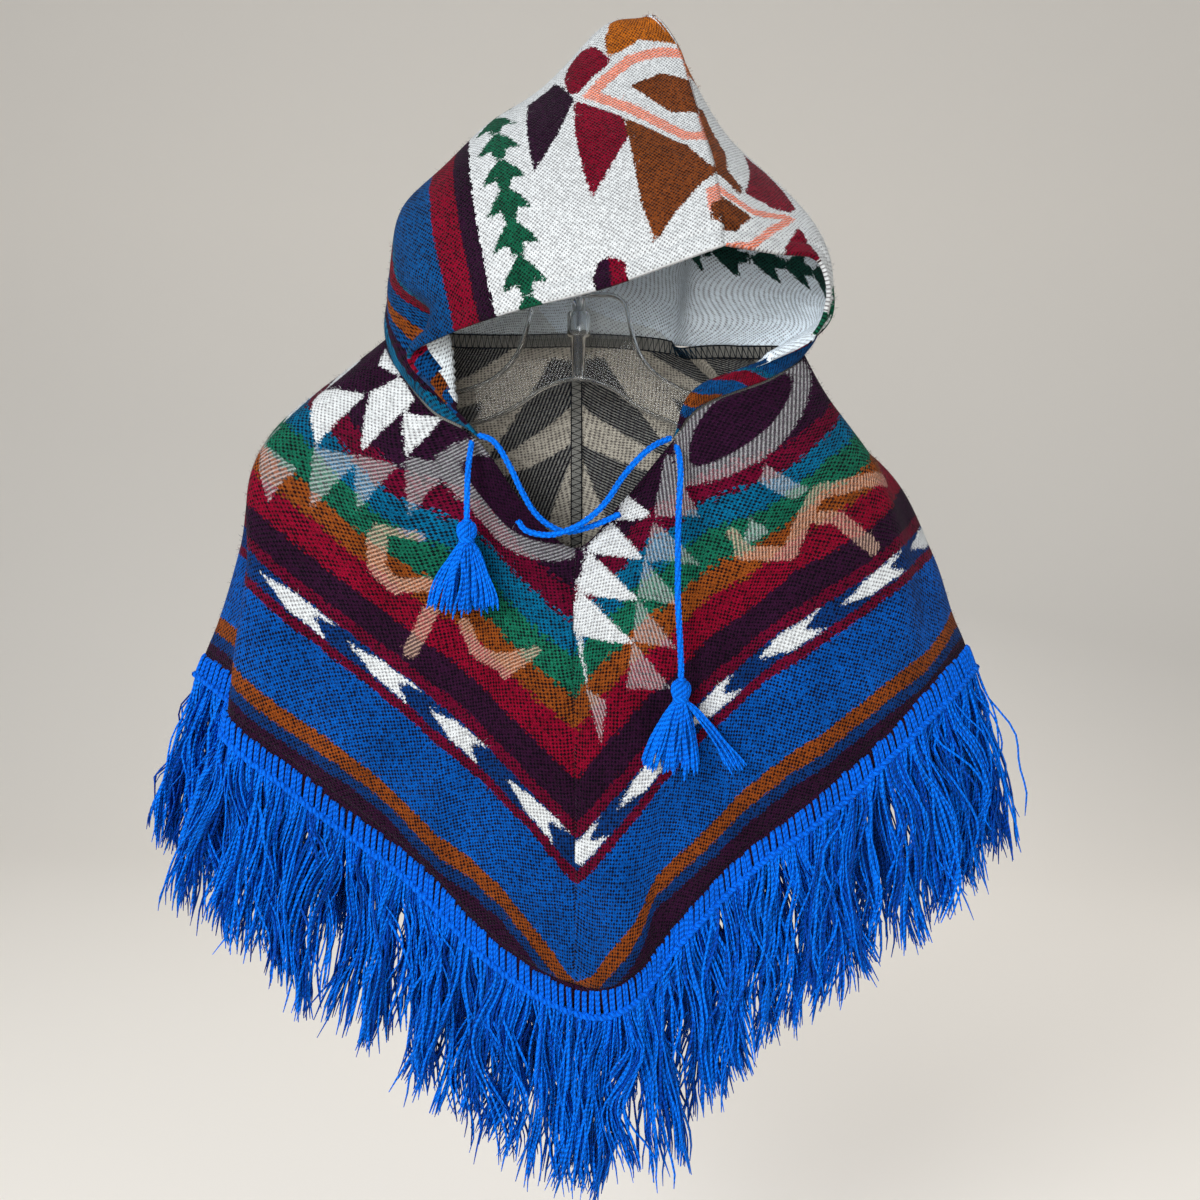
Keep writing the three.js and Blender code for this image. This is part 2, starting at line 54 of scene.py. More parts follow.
# The view, fitted to the holes of the pegboard: turns of a frame with X right, Y down and Z into the wall
view_turn = turn("Z", 0.84) @ turn("X", 1.62) @ turn("Y", 3.04)
to_frame = Matrix(((1, 0, 0), (0, 0, 1), (0, -1, 0)))
right, down, ahead = (to_frame @ Vector(row) for row in view_turn)
camera = bpy.data.objects.new("camera", bpy.data.cameras.new("camera"))
camera.matrix_world = Matrix.Translation((0.04309, -0.5819, -0.19232)) @ Matrix(
    (right, -down, -ahead)).transposed().to_4x4()
camera.data.sensor_width = 36
camera.data.lens = 36.09
camera.data.clip_start = 0.01
scene.collection.objects.link(camera)
scene.camera = camera


def soft_light(name, place, aim, size, power, colour):
    lamp = bpy.data.lights.new(name, "AREA")
    lamp.shape = "DISK"
    lamp.size = size
    lamp.energy = power
    lamp.color = colour
    piece = bpy.data.objects.new(name, lamp)
    piece.location = place
    piece.rotation_euler = (Vector(aim) - Vector(place)).to_track_quat("-Z", "Y").to_euler()
    scene.collection.objects.link(piece)


soft_light("key", (-0.85, -1.45, 0.4), (0, 0, -0.2), 0.7, 24, (0.93, 0.97, 1.0))
soft_light("front", (-0.15, -1.9, -0.1), (0.05, 0, -0.1), 0.8, 11, (0.93, 0.97, 1.0))
soft_light("fill", (1.2, -1.3, 0.1), (0, 0, -0.2), 1.2, 4, (1.0, 0.97, 0.94))
soft_light("back", (0.4, 1.1, 0.8), (0, 0, -0.2), 0.9, 10, (1.0, 1.0, 1.0))

world = bpy.data.worlds.new("studio")
scene.world = world
world.use_nodes = True
world.node_tree.nodes["Background"].inputs["Color"].default_value = (0.86, 0.88, 0.91, 1)
world.node_tree.nodes["Background"].inputs["Strength"].default_value = 0.45
scene.view_settings.view_transform = "Standard"


# ---- making meshes


def unit(vectors):
    """The same vectors at length 1."""
    return vectors / np.maximum(np.linalg.norm(vectors, axis=-1, keepdims=True), 1e-9)


def running_length(points, axis=0):
    """The length from the first points of a grid to each, along one of its axes."""
    steps = np.linalg.norm(np.diff(points, axis=axis), axis=-1)
    return np.concatenate([np.zeros_like(np.take(steps, [0], axis)), np.cumsum(steps, axis)], axis)


def add_mesh(name, points, faces, uv, parts, material=None, extra=None):
    """A mesh of points in mm, with each point's uv and extra fields, and each face's material number."""
    mesh = bpy.data.meshes.new(name)
    mesh.from_pydata((np.asarray(points) * MM).tolist(), [], [list(f) for f in faces])
    corners = np.zeros(len(mesh.loops), np.int32)
    mesh.loops.foreach_get("vertex_index", corners)
    layer = mesh.uv_layers.new(name="cloth")
    layer.data.foreach_set("uv", np.asarray(uv, np.float32)[corners].ravel())
    for key, values in (extra or {}).items():
        field = mesh.attributes.new(key, "FLOAT", "POINT")
        field.data.foreach_set("value", np.asarray(values, np.float32))
    for each in parts:
        mesh.materials.append(each)
    if material is not None:
        mesh.polygons.foreach_set("material_index", np.asarray(material, np.int32))
    mesh.polygons.foreach_set("use_smooth", np.ones(len(mesh.polygons), bool))
    mesh.update()
    piece = bpy.data.objects.new(name, mesh)
    scene.collection.objects.link(piece)
    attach(piece, "root")
    return piece


def grid_faces(columns, rows, offset=0, flip=False):
    a = (np.arange(columns - 1)[:, None] * rows + np.arange(rows - 1)[None, :]).ravel() + offset
    quads = np.stack([a, a + rows, a + rows + 1, a + 1], 1)
    return quads[:, ::-1] if flip else quads


def grid_normals(grid):
    """Unit normals of a grid of points (columns, rows, 3)."""
    return unit(np.cross(np.gradient(grid, axis=0), np.gradient(grid, axis=1)))


def between(grid, i, j, a, b):
    """A grid's values at the shares a and b past its columns i and rows j."""
    return (grid[i, j] * (1 - a) * (1 - b) + grid[i + 1, j] * a * (1 - b)
            + grid[i, j + 1] * (1 - a) * b + grid[i + 1, j + 1] * a * b)


def tubes(paths, radii, sides, spin=0.0, flat=1.0, facing=(0.31, 0.93, 0.2)):
    """Strands along paths (n, k, 3), turned by spin: points, faces, and uv with v in mm along the strand."""
    paths = np.asarray(paths, float)
    n, k, _ = paths.shape
    radii = np.broadcast_to(np.asarray(radii, float), (n, k))[:, :, None, None]
    spin = np.broadcast_to(spin, n)
    along = unit(np.gradient(paths, axis=1))
    across = unit(np.cross(along, np.broadcast_to(facing, along.shape)))
    out = np.cross(across, along) * flat
    angle = np.linspace(0, CIRCLE, sides + 1)
    phase = (angle + spin[:, None, None])[..., None]
    sideways = np.cos(phase) * across[:, :, None] + np.sin(phase) * out[:, :, None]
    points = paths[:, :, None] + radii * sideways
    uv = np.empty((n, k, sides + 1, 2))
    uv[..., 0] = angle / CIRCLE
    uv[..., 1] = (running_length(paths, 1) + 3.1 * spin[:, None])[..., None]     # no two twists in step
    ring = sides + 1
    base = (np.arange(n)[:, None, None] * k + np.arange(k - 1)[None, :, None]) * ring + np.arange(sides)
    base = base.ravel()
    faces = np.stack([base, base + 1, base + ring + 1, base + ring], 1)
    return points.reshape(-1, 3), faces, uv.reshape(-1, 2)


def turned(profile, sides, flip=False):
    """A surface turned round the Z axis from (radius, z) rows, with an empty uv."""
    ring = np.linspace(0, CIRCLE, sides + 1)
    points = np.array([(r * math.cos(a), r * math.sin(a), z) for r, z in profile for a in ring])
    return points, grid_faces(len(profile), sides + 1, 0, flip), np.zeros((len(points), 2))


class Heap:
    """Collects strands and shells for one joined mesh."""

    def __init__(self):
        self.points, self.faces, self.uv, self.kind, self.count = [], [], [], [], 0

    def add(self, made, kind=0):
        points, faces, uv = made
        self.points.append(points)
        self.faces.append(np.asarray(faces) + self.count)
        self.uv.append(uv)
        self.kind.append(np.full(len(faces), kind))
        self.count += len(points)

    def mesh(self, name, parts):
        points, faces, uv, kind = map(np.concatenate, (self.points, self.faces, self.uv, self.kind))
        return add_mesh(name, points, faces, uv, parts, kind)

# ---- materials


def rgb(r, g, b):
    """A linear colour from its 0 to 255 screen values."""
    def linear(c):
        c /= 255
        return c / 12.92 if c <= 0.04045 else ((c + 0.055) / 1.055) ** 2.4
    return (linear(r), linear(g), linear(b), 1.0)


class Paint:
    """A node material built up by short calls. A value is a number, a colour or a socket."""

    def __init__(self, name):
        self.material = bpy.data.materials.new(name)
        self.material.use_nodes = True
        self.tree = self.material.node_tree
        self.shader = self.tree.nodes["Principled BSDF"]

    def node(self, kind, **settings):
        made = self.tree.nodes.new(kind)
        for key, value in settings.items():
            setattr(made, key, value)
        return made

    def put(self, socket, value):
        if isinstance(value, bpy.types.NodeSocket):
            self.tree.links.new(value, socket)
        elif value is not None:
            socket.default_value = value

    def math(self, operation, a, b=None, c=None, clamp=False):
        made = self.node("ShaderNodeMath", operation=operation, use_clamp=clamp)
        for socket, value in zip(made.inputs, (a, b, c)):
            self.put(socket, value)
        return made.outputs[0]

    def mul(self, a, b):
        return self.math("MULTIPLY", a, b)

    def madd(self, a, b, c, clamp=False):
        return self.math("MULTIPLY_ADD", a, b, c, clamp)

    def mix(self, amount, a, b, blend="MIX"):
        made = self.node("ShaderNodeMix", data_type="RGBA", blend_type=blend)
        self.put(made.inputs[0], amount)
        self.put(made.inputs[6], a)
        self.put(made.inputs[7], b)
        return made.outputs[2]

    def ramp(self, amount, stops):
        made = self.node("ShaderNodeValToRGB")
        made.color_ramp.interpolation = "CONSTANT"
        elements = made.color_ramp.elements
        while len(elements) > 1:
            elements.remove(elements[0])
        for k, (place, colour) in enumerate(stops):
            element = elements[0] if k == 0 else elements.new(place)
            element.position = place
            element.color = colour
        self.put(made.inputs[0], amount)
        return made.outputs[0]

    def noise(self, vector, scale, detail, rough):
        made = self.node("ShaderNodeTexNoise")
        self.put(made.inputs["Vector"], vector)
        made.inputs["Scale"].default_value = scale
        made.inputs["Detail"].default_value = detail
        made.inputs["Roughness"].default_value = rough
        return made.outputs["Fac"]

    def white(self, x, y):
        made = self.node("ShaderNodeTexWhiteNoise", noise_dimensions="2D")
        self.put(made.inputs["Vector"], self.combine(x, y))
        return made.outputs["Value"]

    def combine(self, x, y, z=0.0):
        made = self.node("ShaderNodeCombineXYZ")
        for socket, value in zip(made.inputs, (x, y, z)):
            self.put(socket, value)
        return made.outputs[0]

    def grey(self, tone):
        return self.combine(tone, tone, tone)

    def uv(self):
        made = self.node("ShaderNodeSeparateXYZ")
        self.tree.links.new(self.node("ShaderNodeUVMap", uv_map="cloth").outputs[0], made.inputs[0])
        return made.outputs[0], made.outputs[1]

    def place(self):
        return self.node("ShaderNodeTexCoord").outputs["Object"]

    def field(self, name):
        return self.node("ShaderNodeAttribute", attribute_name=name).outputs["Fac"]

    def bump(self, height, distance, strength):
        made = self.node("ShaderNodeBump")
        made.inputs["Strength"].default_value = strength
        made.inputs["Distance"].default_value = distance
        self.put(made.inputs["Height"], height)
        self.tree.links.new(made.outputs[0], self.shader.inputs["Normal"])

    def finish(self, **values):
        """Sets the shader's own sockets, and gives the material."""
        for key, value in values.items():
            self.put(self.shader.inputs[key.replace("_", " ")], value)
        return self.material


# Colours of the yarns, as they look in soft light
INK = rgb(8, 5, 12)
PLUM = rgb(38, 12, 34)
BLUE = rgb(4, 70, 146)
BLUE_DEEP = rgb(8, 44, 96)
HOOD_BLUE = rgb(8, 64, 116)
ORANGE = rgb(118, 56, 18)
MAROON = rgb(88, 6, 34)
CRIMSON = rgb(114, 6, 32)
RUST = rgb(122, 60, 20)
GREEN = rgb(18, 88, 66)
TEAL = rgb(4, 84, 118)
CREAM = rgb(212, 214, 214)
OCHRE = rgb(164, 88, 18)
SIENNA = rgb(112, 56, 22)
SALMON = rgb(234, 112, 66)
YARN_BLUE = rgb(0, 120, 250)

# Stripes of the body cloth: where each starts, in mm from the cut edge
BODY_STRIPES = [
    (0, PLUM), (16.5, BLUE_DEEP), (22, ORANGE), (28.5, BLUE), (58.5, MAROON), (62.5, BLUE_DEEP),
    (72, MAROON), (76.5, PLUM), (88.5, CRIMSON), (102.5, RUST), (112.5, GREEN), (125.5, TEAL),
    (136.5, MAROON), (147.5, PLUM),
]
# Stripes of the hood cloth, in mm down from the crown
HOOD_STRIPES = [
    (0, CREAM), (103.5, PLUM), (111.5, CRIMSON), (124, HOOD_BLUE), (151, TEAL), (154, CRIMSON),
    (162, HOOD_BLUE), (173, RUST), (181, HOOD_BLUE), (187, PLUM), (194, TEAL), (204, PLUM),
]
RAMP_LENGTH = 260.0               # mm of cloth on the colour ramp
WEAVE_S, WEAVE_T = 1.03, 0.97     # half the repeat of the plain weave, in mm
FIBRE_CELLS = 2.2                 # specks of fibre to each mm
TWILL_PITCH, TWILL_LEAN = 1.5, 0.42     # of the light lines in hatching: mm along s, and s for each mm of t
BLEND_FROM = 76.0                 # the stripes run into each other, thread by thread, above this height
RAGGED, BLENDED = 1.2, 3.6        # mm by which a stripe's edge wanders, below that height and far above it


def blanket(name, stripes, motifs, reverse=False, along=None, blend=True):
    """Brushed blanket cloth, with motifs as (field, colour, kind), the lowest first."""
    p = Paint(name)
    mul, madd = p.mul, p.madd
    s, t = p.uv()

    def speckle(a, b):
        """A value from -0.5 to 0.5 for each cell."""
        return p.math("SUBTRACT", p.white(p.math("FLOOR", a), p.math("FLOOR", b)), 0.5)

    speck = speckle(p.math("DIVIDE", s, WEAVE_S), p.math("DIVIDE", t, WEAVE_T))
    fine_speck = speckle(mul(s, FIBRE_CELLS), mul(t, FIBRE_CELLS))
    place = p.place()
    soft = p.math("SUBTRACT", p.noise(place, 30.0, 3.0, 0.6), 0.5)
    patch = p.noise(place, 38.0, 3.0, 0.6)
    fibre = p.noise(p.combine(mul(s, 0.5), mul(t, 2.1)), 1.0, 3.0, 0.7)
    row = t if along is None else p.field(along)
    loose = madd(p.math("SUBTRACT", row, BLEND_FROM), 0.07 if blend else 0.0, RAGGED)
    loose = p.math("MINIMUM", p.math("MAXIMUM", loose, RAGGED), BLENDED)
    stripe_at = p.math("ADD", row, p.math("ADD", mul(speck, loose), mul(soft, 2.0)))
    colour = p.ramp(p.math("DIVIDE", stripe_at, RAMP_LENGTH),
                    [(start / RAMP_LENGTH, shade) for start, shade in stripes])
    # plain weave: the product of two waves; the cloth is darkened towards ink in its hollows as painted
    # shade, more in some cells than others at random
    wave = mul(p.math("SINE", mul(s, math.pi / WEAVE_S)), p.math("SINE", mul(t, math.pi / WEAVE_T)))
    sunk = madd(madd(speck, 1.1, wave), 1.7, -0.05, True)
    # on pale cloth the same hollows take dark pins, as painted shade
    pin = madd(madd(speck, 0.5, wave), 3.0, -1.35, True)
    fuzz = madd(fine_speck, 0.5, fibre)
    grey = p.grey(mul(madd(fuzz, 1.0, 0.58), madd(patch, 1.1, 0.45)))
    pale_grey = p.grey(madd(fuzz, 0.26, 0.84))

    def deep_cloth(shade, depth=0.95):
        return p.mix(1.0, p.mix(mul(sunk, depth), shade, INK), grey, "MULTIPLY")

    def pale_cloth(shade):
        return p.mix(1.0, p.mix(mul(pin, 0.8), shade, rgb(84, 76, 80)), pale_grey, "MULTIPLY")

    def lines():
        """Light twill lines over the ground, from 0 to 1."""
        phase = p.math("FRACT", p.math("DIVIDE", madd(t, TWILL_LEAN, s), TWILL_PITCH))
        away = p.math("ABSOLUTE", p.math("SUBTRACT", phase, 0.5))
        return madd(madd(fine_speck, 0.12, away), 7.0, -1.55, True)

    value = p.node("ShaderNodeRGBToBW")
    p.put(value.inputs[0], colour)
    ground = p.mix(madd(value.outputs[0], 4.0, -1.4, True), deep_cloth(colour), pale_cloth(colour))
    if reverse:
        # the inside face is darkened, 30% of the way to a dark grey-brown, as painted shade
        ground = p.mix(0.3, ground, rgb(70, 60, 58))
    for field, shade, kind in motifs:
        edge = madd(speck, 1.0, madd(fine_speck, 0.8, p.field(field)))
        inside = madd(edge, 2.2, 0.5, True)
        if kind == "hatch":
            tinted = p.mix(1.0, p.mix(0.42, colour, shade), pale_grey, "MULTIPLY")
            over = p.mix(lines(), p.mix(0.08, ground, shade), tinted)
        elif kind == "pale":
            over = pale_cloth(shade)
        elif kind == "salmon":
            over = p.mix(madd(lines(), 0.45, 0.55), pale_cloth(CREAM), pale_cloth(shade))
        elif kind == "twill":
            over = p.mix(lines(), deep_cloth(rgb(36, 38, 42)), pale_cloth(rgb(124, 122, 116)))
        else:
            over = deep_cloth(shade, 0.8)
        ground = p.mix(inside, ground, over)
    nap = p.noise(place, 1100.0, 2.0, 0.75)
    p.bump(p.math("ADD", mul(p.math("SUBTRACT", 1.0, sunk), 0.8), mul(nap, 1.1)), 0.0007, 0.85)
    return p.finish(Base_Color=ground, Roughness=0.95, Specular_IOR_Level=0.03, Sheen_Weight=0.05,
                    Sheen_Roughness=0.4)


def yarn(name, shade, twist=2.4, depth=0.0004):
    """Yarn of two plies, with painted shade in the grooves of its twist: uv goes once round it, and in mm
    along it.
    """
    p = Paint(name)
    mul, madd = p.mul, p.madd
    u, v = p.uv()
    coil = p.math("SINE", mul(p.math("ADD", mul(u, 2.0), p.math("DIVIDE", v, twist)), CIRCLE))
    place = p.place()
    # the colour is darkened along the grooves of the coil as painted shade, and varies at random in tone
    tone = mul(madd(coil, 0.2, 0.8), madd(p.noise(place, 60.0, 2.0, 0.6), 0.5, 0.72))
    p.bump(p.math("ADD", coil, mul(p.noise(place, 2200.0, 2.0, 0.7), 1.2)), depth, 0.6)
    return p.finish(Base_Color=p.mix(1.0, shade, p.grey(tone), "MULTIPLY"), Roughness=0.8, Sheen_Weight=0.12,
                    Specular_IOR_Level=0.08, Sheen_Roughness=0.35, Sheen_Tint=(0.1, 0.55, 1.0, 1.0))


yarn_blue = yarn("yarn_blue", YARN_BLUE)
# a darker copy of the blue yarn: painted shade on fringe strands rooted far back, and on the tassels' cores
yarn_shaded = yarn("yarn_blue_painted_shade", rgb(0, 76, 190))
yarn_whip = yarn("yarn_blue_whip", rgb(0, 106, 234))
thread_black = yarn("thread_black", rgb(24, 22, 26), 1.0, 0.0001)
tape_pale = yarn("seam_tape", rgb(128, 126, 120), 1.0, 0.0001)

# ---- the surfaces of the garment, in mm

# Upright lines of the body, each with its points at the hem, low, mid, high and at the neck. In order: centre
# front, left inner, hood corner, outer, front fold, trough, ridge, back edge, back outer, back inner, centre
# back, right back inner, back outer, back edge, ridge, front fold, outer, trough, hood corner, inner
BODY_LINES = [
    ((5, -38, -396), (5, -43, -340), (4, -43, -280), (2, -38, -225), (2, -30, -184)),
    ((-30, -38, -377), (-29, -43, -330), (-28, -42, -275), (-25, -37, -212), (-21, -30, -165)),
    ((-74, -38, -336), (-68, -43, -295), (-60, -41, -245), (-51, -36, -185), (-44, -31, -135)),
    ((-120, -40, -302), (-113, -43, -262), (-104, -39, -215), (-92, -32, -160), (-66, -29, -122)),
    ((-157, -39, -274), (-153, -38, -240), (-148, -32, -200), (-145, -14, -145), (-84, -22, -101)),
    ((-160, -16, -263), (-154, -14, -228), (-151, -9, -190), (-151, -5, -138), (-91, -12, -88)),
    ((-188, 4, -249), (-178, 4, -222), (-166, 3, -186), (-153, 1, -134), (-88, -4, -82)),
    ((-172, 16, -262), (-164, 15, -232), (-156, 12, -194), (-144, 8, -138), (-74, 5, -81)),
    ((-118, 23, -301), (-110, 23, -262), (-102, 20, -212), (-92, 17, -145), (-55, 17, -81)),
    ((-56, 27, -348), (-54, 28, -300), (-50, 27, -240), (-44, 25, -160), (-30, 26, -80)),
    ((1, 28, -391), (0, 30, -330), (-1, 30, -250), (-2, 28, -150), (-3, 28, -79)),
    ((58, 27, -345), (56, 28, -300), (52, 27, -240), (44, 25, -160), (22, 27, -80)),
    ((120, 22, -298), (112, 22, -260), (103, 20, -212), (90, 17, -150), (46, 20, -83)),
    ((176, 14, -252), (166, 14, -224), (154, 12, -192), (136, 8, -148), (56, 4, -87)),
    ((191, 0, -238), (182, 0, -214), (170, 0, -184), (147, 1, -143), (80, -8, -89)),
    ((162, -30, -261), (154, -32, -232), (146, -29, -196), (136, -14, -150), (105, -24, -94)),
    ((124, -38, -297), (117, -42, -258), (108, -39, -212), (98, -33, -155), (90, -31, -107)),
    ((84, -37, -330), (79, -41, -290), (72, -41, -240), (62, -35, -170), (60, -30, -119)),
    ((51, -35, -366), (52, -38, -326), (50, -40, -270), (44, -36, -195), (46, -31, -135)),
    ((30, -44, -391), (28, -46, -345), (27, -43, -285), (22, -37, -212), (23, -30, -163)),
]
# Rows of points of each hood panel, from the face edge to the centre seam
CROWN = [(66, -75, -57), (65, -65, -37), (62, -49, -14), (57, -32, 8), (52, -18, 31), (46, -6, 53),
         (33, 4, 71)]
HOOD_LEFT = dict(
    collar=[(-62, -33, -115), (-79, -31, -99), (-90, -18, -77), (-87, 1, -66), (-61, 16, -62),
            (-36, 27, -58), (0, 30, -52)],
    cheek=[(-75, -38, -99), (-85, -31, -79), (-88, -14, -50), (-81, 4, -38), (-56, 18, -34), (-26, 28, -28),
           (6, 30, -20)],
    temple=[(-54, -50, -90), (-70, -45, -62), (-79, -27, -28), (-68, -4, -8), (-44, 12, 4), (-14, 24, 11),
            (13, 27, 17)],
    crest=[(-22, -62, -82), (-32, -55, -52), (-40, -40, -14), (-38, -18, 15), (-24, 0, 31), (-2, 14, 42),
           (18, 21, 46)],
    brow=[(16, -70, -74), (12, -62, -46), (8, -48, -14), (4, -32, 14), (2, -14, 42), (8, 2, 60),
          (24, 14, 63)],
    crown=CROWN)
HOOD_RIGHT = dict(
    collar=[(57, -32, -110), (86, -34, -99), (111, -29, -85), (94, -13, -77), (57, -1, -73), (45, 21, -62),
            (0, 30, -52)],
    cheek=[(103, -34, -93), (115, -34, -82), (114, -22, -66), (95, -8, -56), (59, 0, -50), (47, 21, -36),
           (6, 30, -20)],
    temple=[(114, -44, -75), (116, -36, -60), (108, -20, -42), (90, -4, -28), (66, 9, -17), (46, 21, -4),
            (13, 27, 17)],
    crest=[(108, -53, -58), (108, -42, -44), (99, -26, -24), (84, -8, -6), (66, 6, 10), (44, 17, 27),
           (18, 21, 46)],
    brow=[(88, -66, -58), (89, -53, -40), (82, -39, -20), (73, -24, -1), (62, -9, 20), (49, 5, 40),
          (24, 14, 63)],
    crown=CROWN)

BAND_HEIGHT, BAND_GAP, CLOTH = 12.0, 0.7, 2.0     # of the stitched edge, over it, and the cloth's thickness
NECK_GAP = 1.1           # upright, between body and hood
CENTRE_BACK = 10         # its body line
# The cloth's height from the cut edge to the neck on each body line, and how far a mitred end leans along s
NECK_T = [158, 166, 172, 176, 180, 185, 187, 195, 225, 238, 244, 238, 225, 195, 187, 183, 180, 176, 172, 166]
MITRE = 0.81
HEM_START, HEM_SPARE = 8, 12     # s of the centre-front edge at the hem, and how much longer the strip is


def spline(points, t, closed=False):
    """A uniform Catmull-Rom curve through points (n, ..., k), at each t from 0 to 1."""
    p = np.asarray(points, float)
    t = np.atleast_1d(np.asarray(t, float))
    n = len(p)
    place = t * (n if closed else n - 1)
    i = np.floor(place).astype(int)
    if closed:
        i %= n
        w = place - np.floor(place)
        p0, p1, p2, p3 = p[(i - 1) % n], p[i], p[(i + 1) % n], p[(i + 2) % n]
    else:
        i = np.clip(i, 0, n - 2)
        w = place - i
        q = np.concatenate([[2 * p[0] - p[1]], p, [2 * p[-1] - p[-2]]])
        p0, p1, p2, p3 = q[i], q[i + 1], q[i + 2], q[i + 3]
    w = w.reshape(-1, *[1] * (p.ndim - 1))
    m1, m2 = 0.5 * (p2 - p0), 0.5 * (p3 - p1)
    return ((2 * w**3 - 3 * w**2 + 1) * p1 + (w**3 - 2 * w**2 + w) * m1
            + (3 * w**2 - 2 * w**3) * p2 + (w**3 - w**2) * m2)


def by_length(points, share):
    """Points of a spline at shares of its length, and the length."""
    fine = np.linspace(0, 1, 201)
    lengths = running_length(spline(points, fine))
    return spline(points, np.interp(np.asarray(share) * lengths[-1], lengths, fine)), lengths[-1]


SPINE_LENGTH = np.array([by_length(s, [0])[1] for s in BODY_LINES])


def body_at(around, height):
    """Body points at shares round the garment (a,) and heights over the cut edge in mm (h,) -> (a, h, 3)."""
    controls = np.array([by_length(s, np.asarray(height) / n)[0] for s, n in zip(BODY_LINES, SPINE_LENGTH)])
    return spline(controls, around, closed=True)


def body_grid(around, rows):
    """Body points (a, r, 3) from just above the band, row 0, to the neck, row 1, and their t."""
    foot = (BAND_HEIGHT + BAND_GAP) / SPINE_LENGTH
    controls = np.array([by_length(s, f + (1 - f) * rows)[0] for s, f in zip(BODY_LINES, foot)])
    neck_t = spline(np.array(NECK_T, float)[:, None], around, closed=True)
    t = BAND_HEIGHT + (neck_t - BAND_HEIGHT) * rows[None, :]
    return spline(controls, around, closed=True), t


def body_half(side, columns, rows):
    """One half's grid, from centre front to centre back, with s along the hem and t up, in mm of cloth."""
    reach = np.linspace(0, 0.5, columns)
    around = reach if side == 'left' else 1 - reach
    row = np.linspace(0, 1, rows)
    points, t = body_grid(around, row)
    hem = running_length(points[:, 0])
    neck = running_length(points[:, -1])
    total = hem[-1] + HEM_SPARE
    start, end = MITRE * NECK_T[0], total - MITRE * NECK_T[CENTRE_BACK]
    s_hem = HEM_START + hem
    s_neck = start + neck * (end - start) / neck[-1]
    share = (t - BAND_HEIGHT) / (t[:, -1:] - BAND_HEIGHT)
    s = s_hem[:, None] + (s_neck - s_hem)[:, None] * share
    return points, s, t


HOOD_ROWS = ("collar", "cheek", "temple", "crest", "brow", "crown")


def hood_grid(rows, corner, u, v):
    """Hood points (u, v, 3), from the face edge at u=0 to the centre seam, from the neck at v=0 up."""
    around = (corner + (CENTRE_BACK - corner) * u) / len(BODY_LINES)
    neck = body_grid(around, np.array([1.0]))[0][:, 0] + (0, 0, NECK_GAP)
    controls = np.array([neck, *[spline(rows[name], u) for name in HOOD_ROWS]])
    return spline(controls, v).transpose(1, 0, 2)


def hood_cloth(points):
    """The cloth's own measures on a hood panel in mm: sigma from the face edge, tau down from the crown."""
    return running_length(points), running_length(points[:, ::-1], 1)[:, ::-1]


# ---- cords, first

CORD_DIAMETER = 3.0
CORD_PLY = 0.82          # radius of each of the three plies
CORD_TURN = 8.0          # mm of cord for one turn of its plies
CORD_ROUTES = dict(
    cord_left=[(-46, -33.4, -136.5), (-46, -37.4, -142), (-46.2, -41, -150), (-46, -44, -160),
        (-45.6, -46.5, -168), (-45.5, -47, -172.9)],
    cord_right=[(47.6, -33.4, -137.5), (49, -37.6, -142.8), (49.6, -41.4, -151), (49.1, -44.6, -165),
        (48.9, -47.2, -179.5), (49.1, -48.8, -194), (49.3, -49.9, -207), (50.5, -51, -224.5),
        (51.1, -51.6, -235.5), (51.2, -51.8, -241.8)],
    cord_left_inner=[(-42.9, -31.7, -133.1), (-35, -35.8, -136.8), (-28, -37.6, -147.2),
        (-21.9, -37.6, -159.3), (-15.5, -37, -169.2), (-7.3, -36.2, -175.4), (0.4, -35.8, -176.9),
        (11.7, -35.8, -173.6), (22.6, -36.4, -168.7)],
    cord_right_inner=[(45, -31.8, -133.6), (38, -35.6, -137.2), (31.4, -38.6, -143), (23.9, -40, -152),
        (16.9, -40.3, -162.8), (10.7, -40.1, -169.3), (2.6, -39.9, -174.9), (-8.7, -39.8, -178.6),
        (-19.2, -39.6, -177), (-23.5, -39.4, -172.4)])


def cord_mesh(name, route):
    """Three plies round a route: the piece, its middle line and its length in mm."""
    length = running_length(spline(route, np.linspace(0, 1, 161)))[-1]
    line = by_length(route, np.linspace(0, 1, max(int(length / 0.9), 24)))[0]
    along = unit(np.gradient(line, axis=0))
    across = unit(np.cross(along, (0.05, 1.0, 0.1)))
    out = np.cross(across, along)
    run = running_length(line)
    heap = Heap()
    for ply in range(3):
        angle = CIRCLE * (run / CORD_TURN + ply / 3)[:, None]
        offset = np.cos(angle) * across + np.sin(angle) * out
        heap.add(tubes([line + (CORD_DIAMETER / 2 - CORD_PLY) * offset], CORD_PLY, 7))
    return heap.mesh(name + "_yarn", [yarn_blue]), line, run[-1]


cord_pieces = {name: cord_mesh(name, route) for name, route in CORD_ROUTES.items()}

# ---- the body cloth


def inside_distance(s, t, polygon):
    """Distance in mm into a polygon: positive inside, negative outside."""
    corner = np.asarray(polygon, float)
    p = np.stack([s, t], -1)[..., None, :]
    a, b = corner, np.roll(corner, -1, axis=0)
    edge = b - a
    share = np.clip(((p - a) * edge).sum(-1) / (edge**2).sum(-1), 0, 1)
    away = np.linalg.norm(p - a - share[..., None] * edge, axis=-1).min(-1)
    x, y = s[..., None], t[..., None]
    crossing = ((a[:, 1] > y) != (b[:, 1] > y)) & (
        x < a[:, 0] + (y - a[:, 1]) * edge[:, 0] / np.where(edge[:, 1] == 0, 1e-9, edge[:, 1]))
    return np.where(crossing.sum(-1) % 2 == 1, away, -away)


def oval_distance(s, t, middle, half_long, half_short, tilt):
    x, y = s - middle[0], t - middle[1]
    c, d = math.cos(math.radians(tilt)), math.sin(math.radians(tilt))
    along, across = x * c + y * d, y * c - x * d
    return (1 - np.sqrt((along / half_long) ** 2 + (across / half_short) ** 2)) * half_short


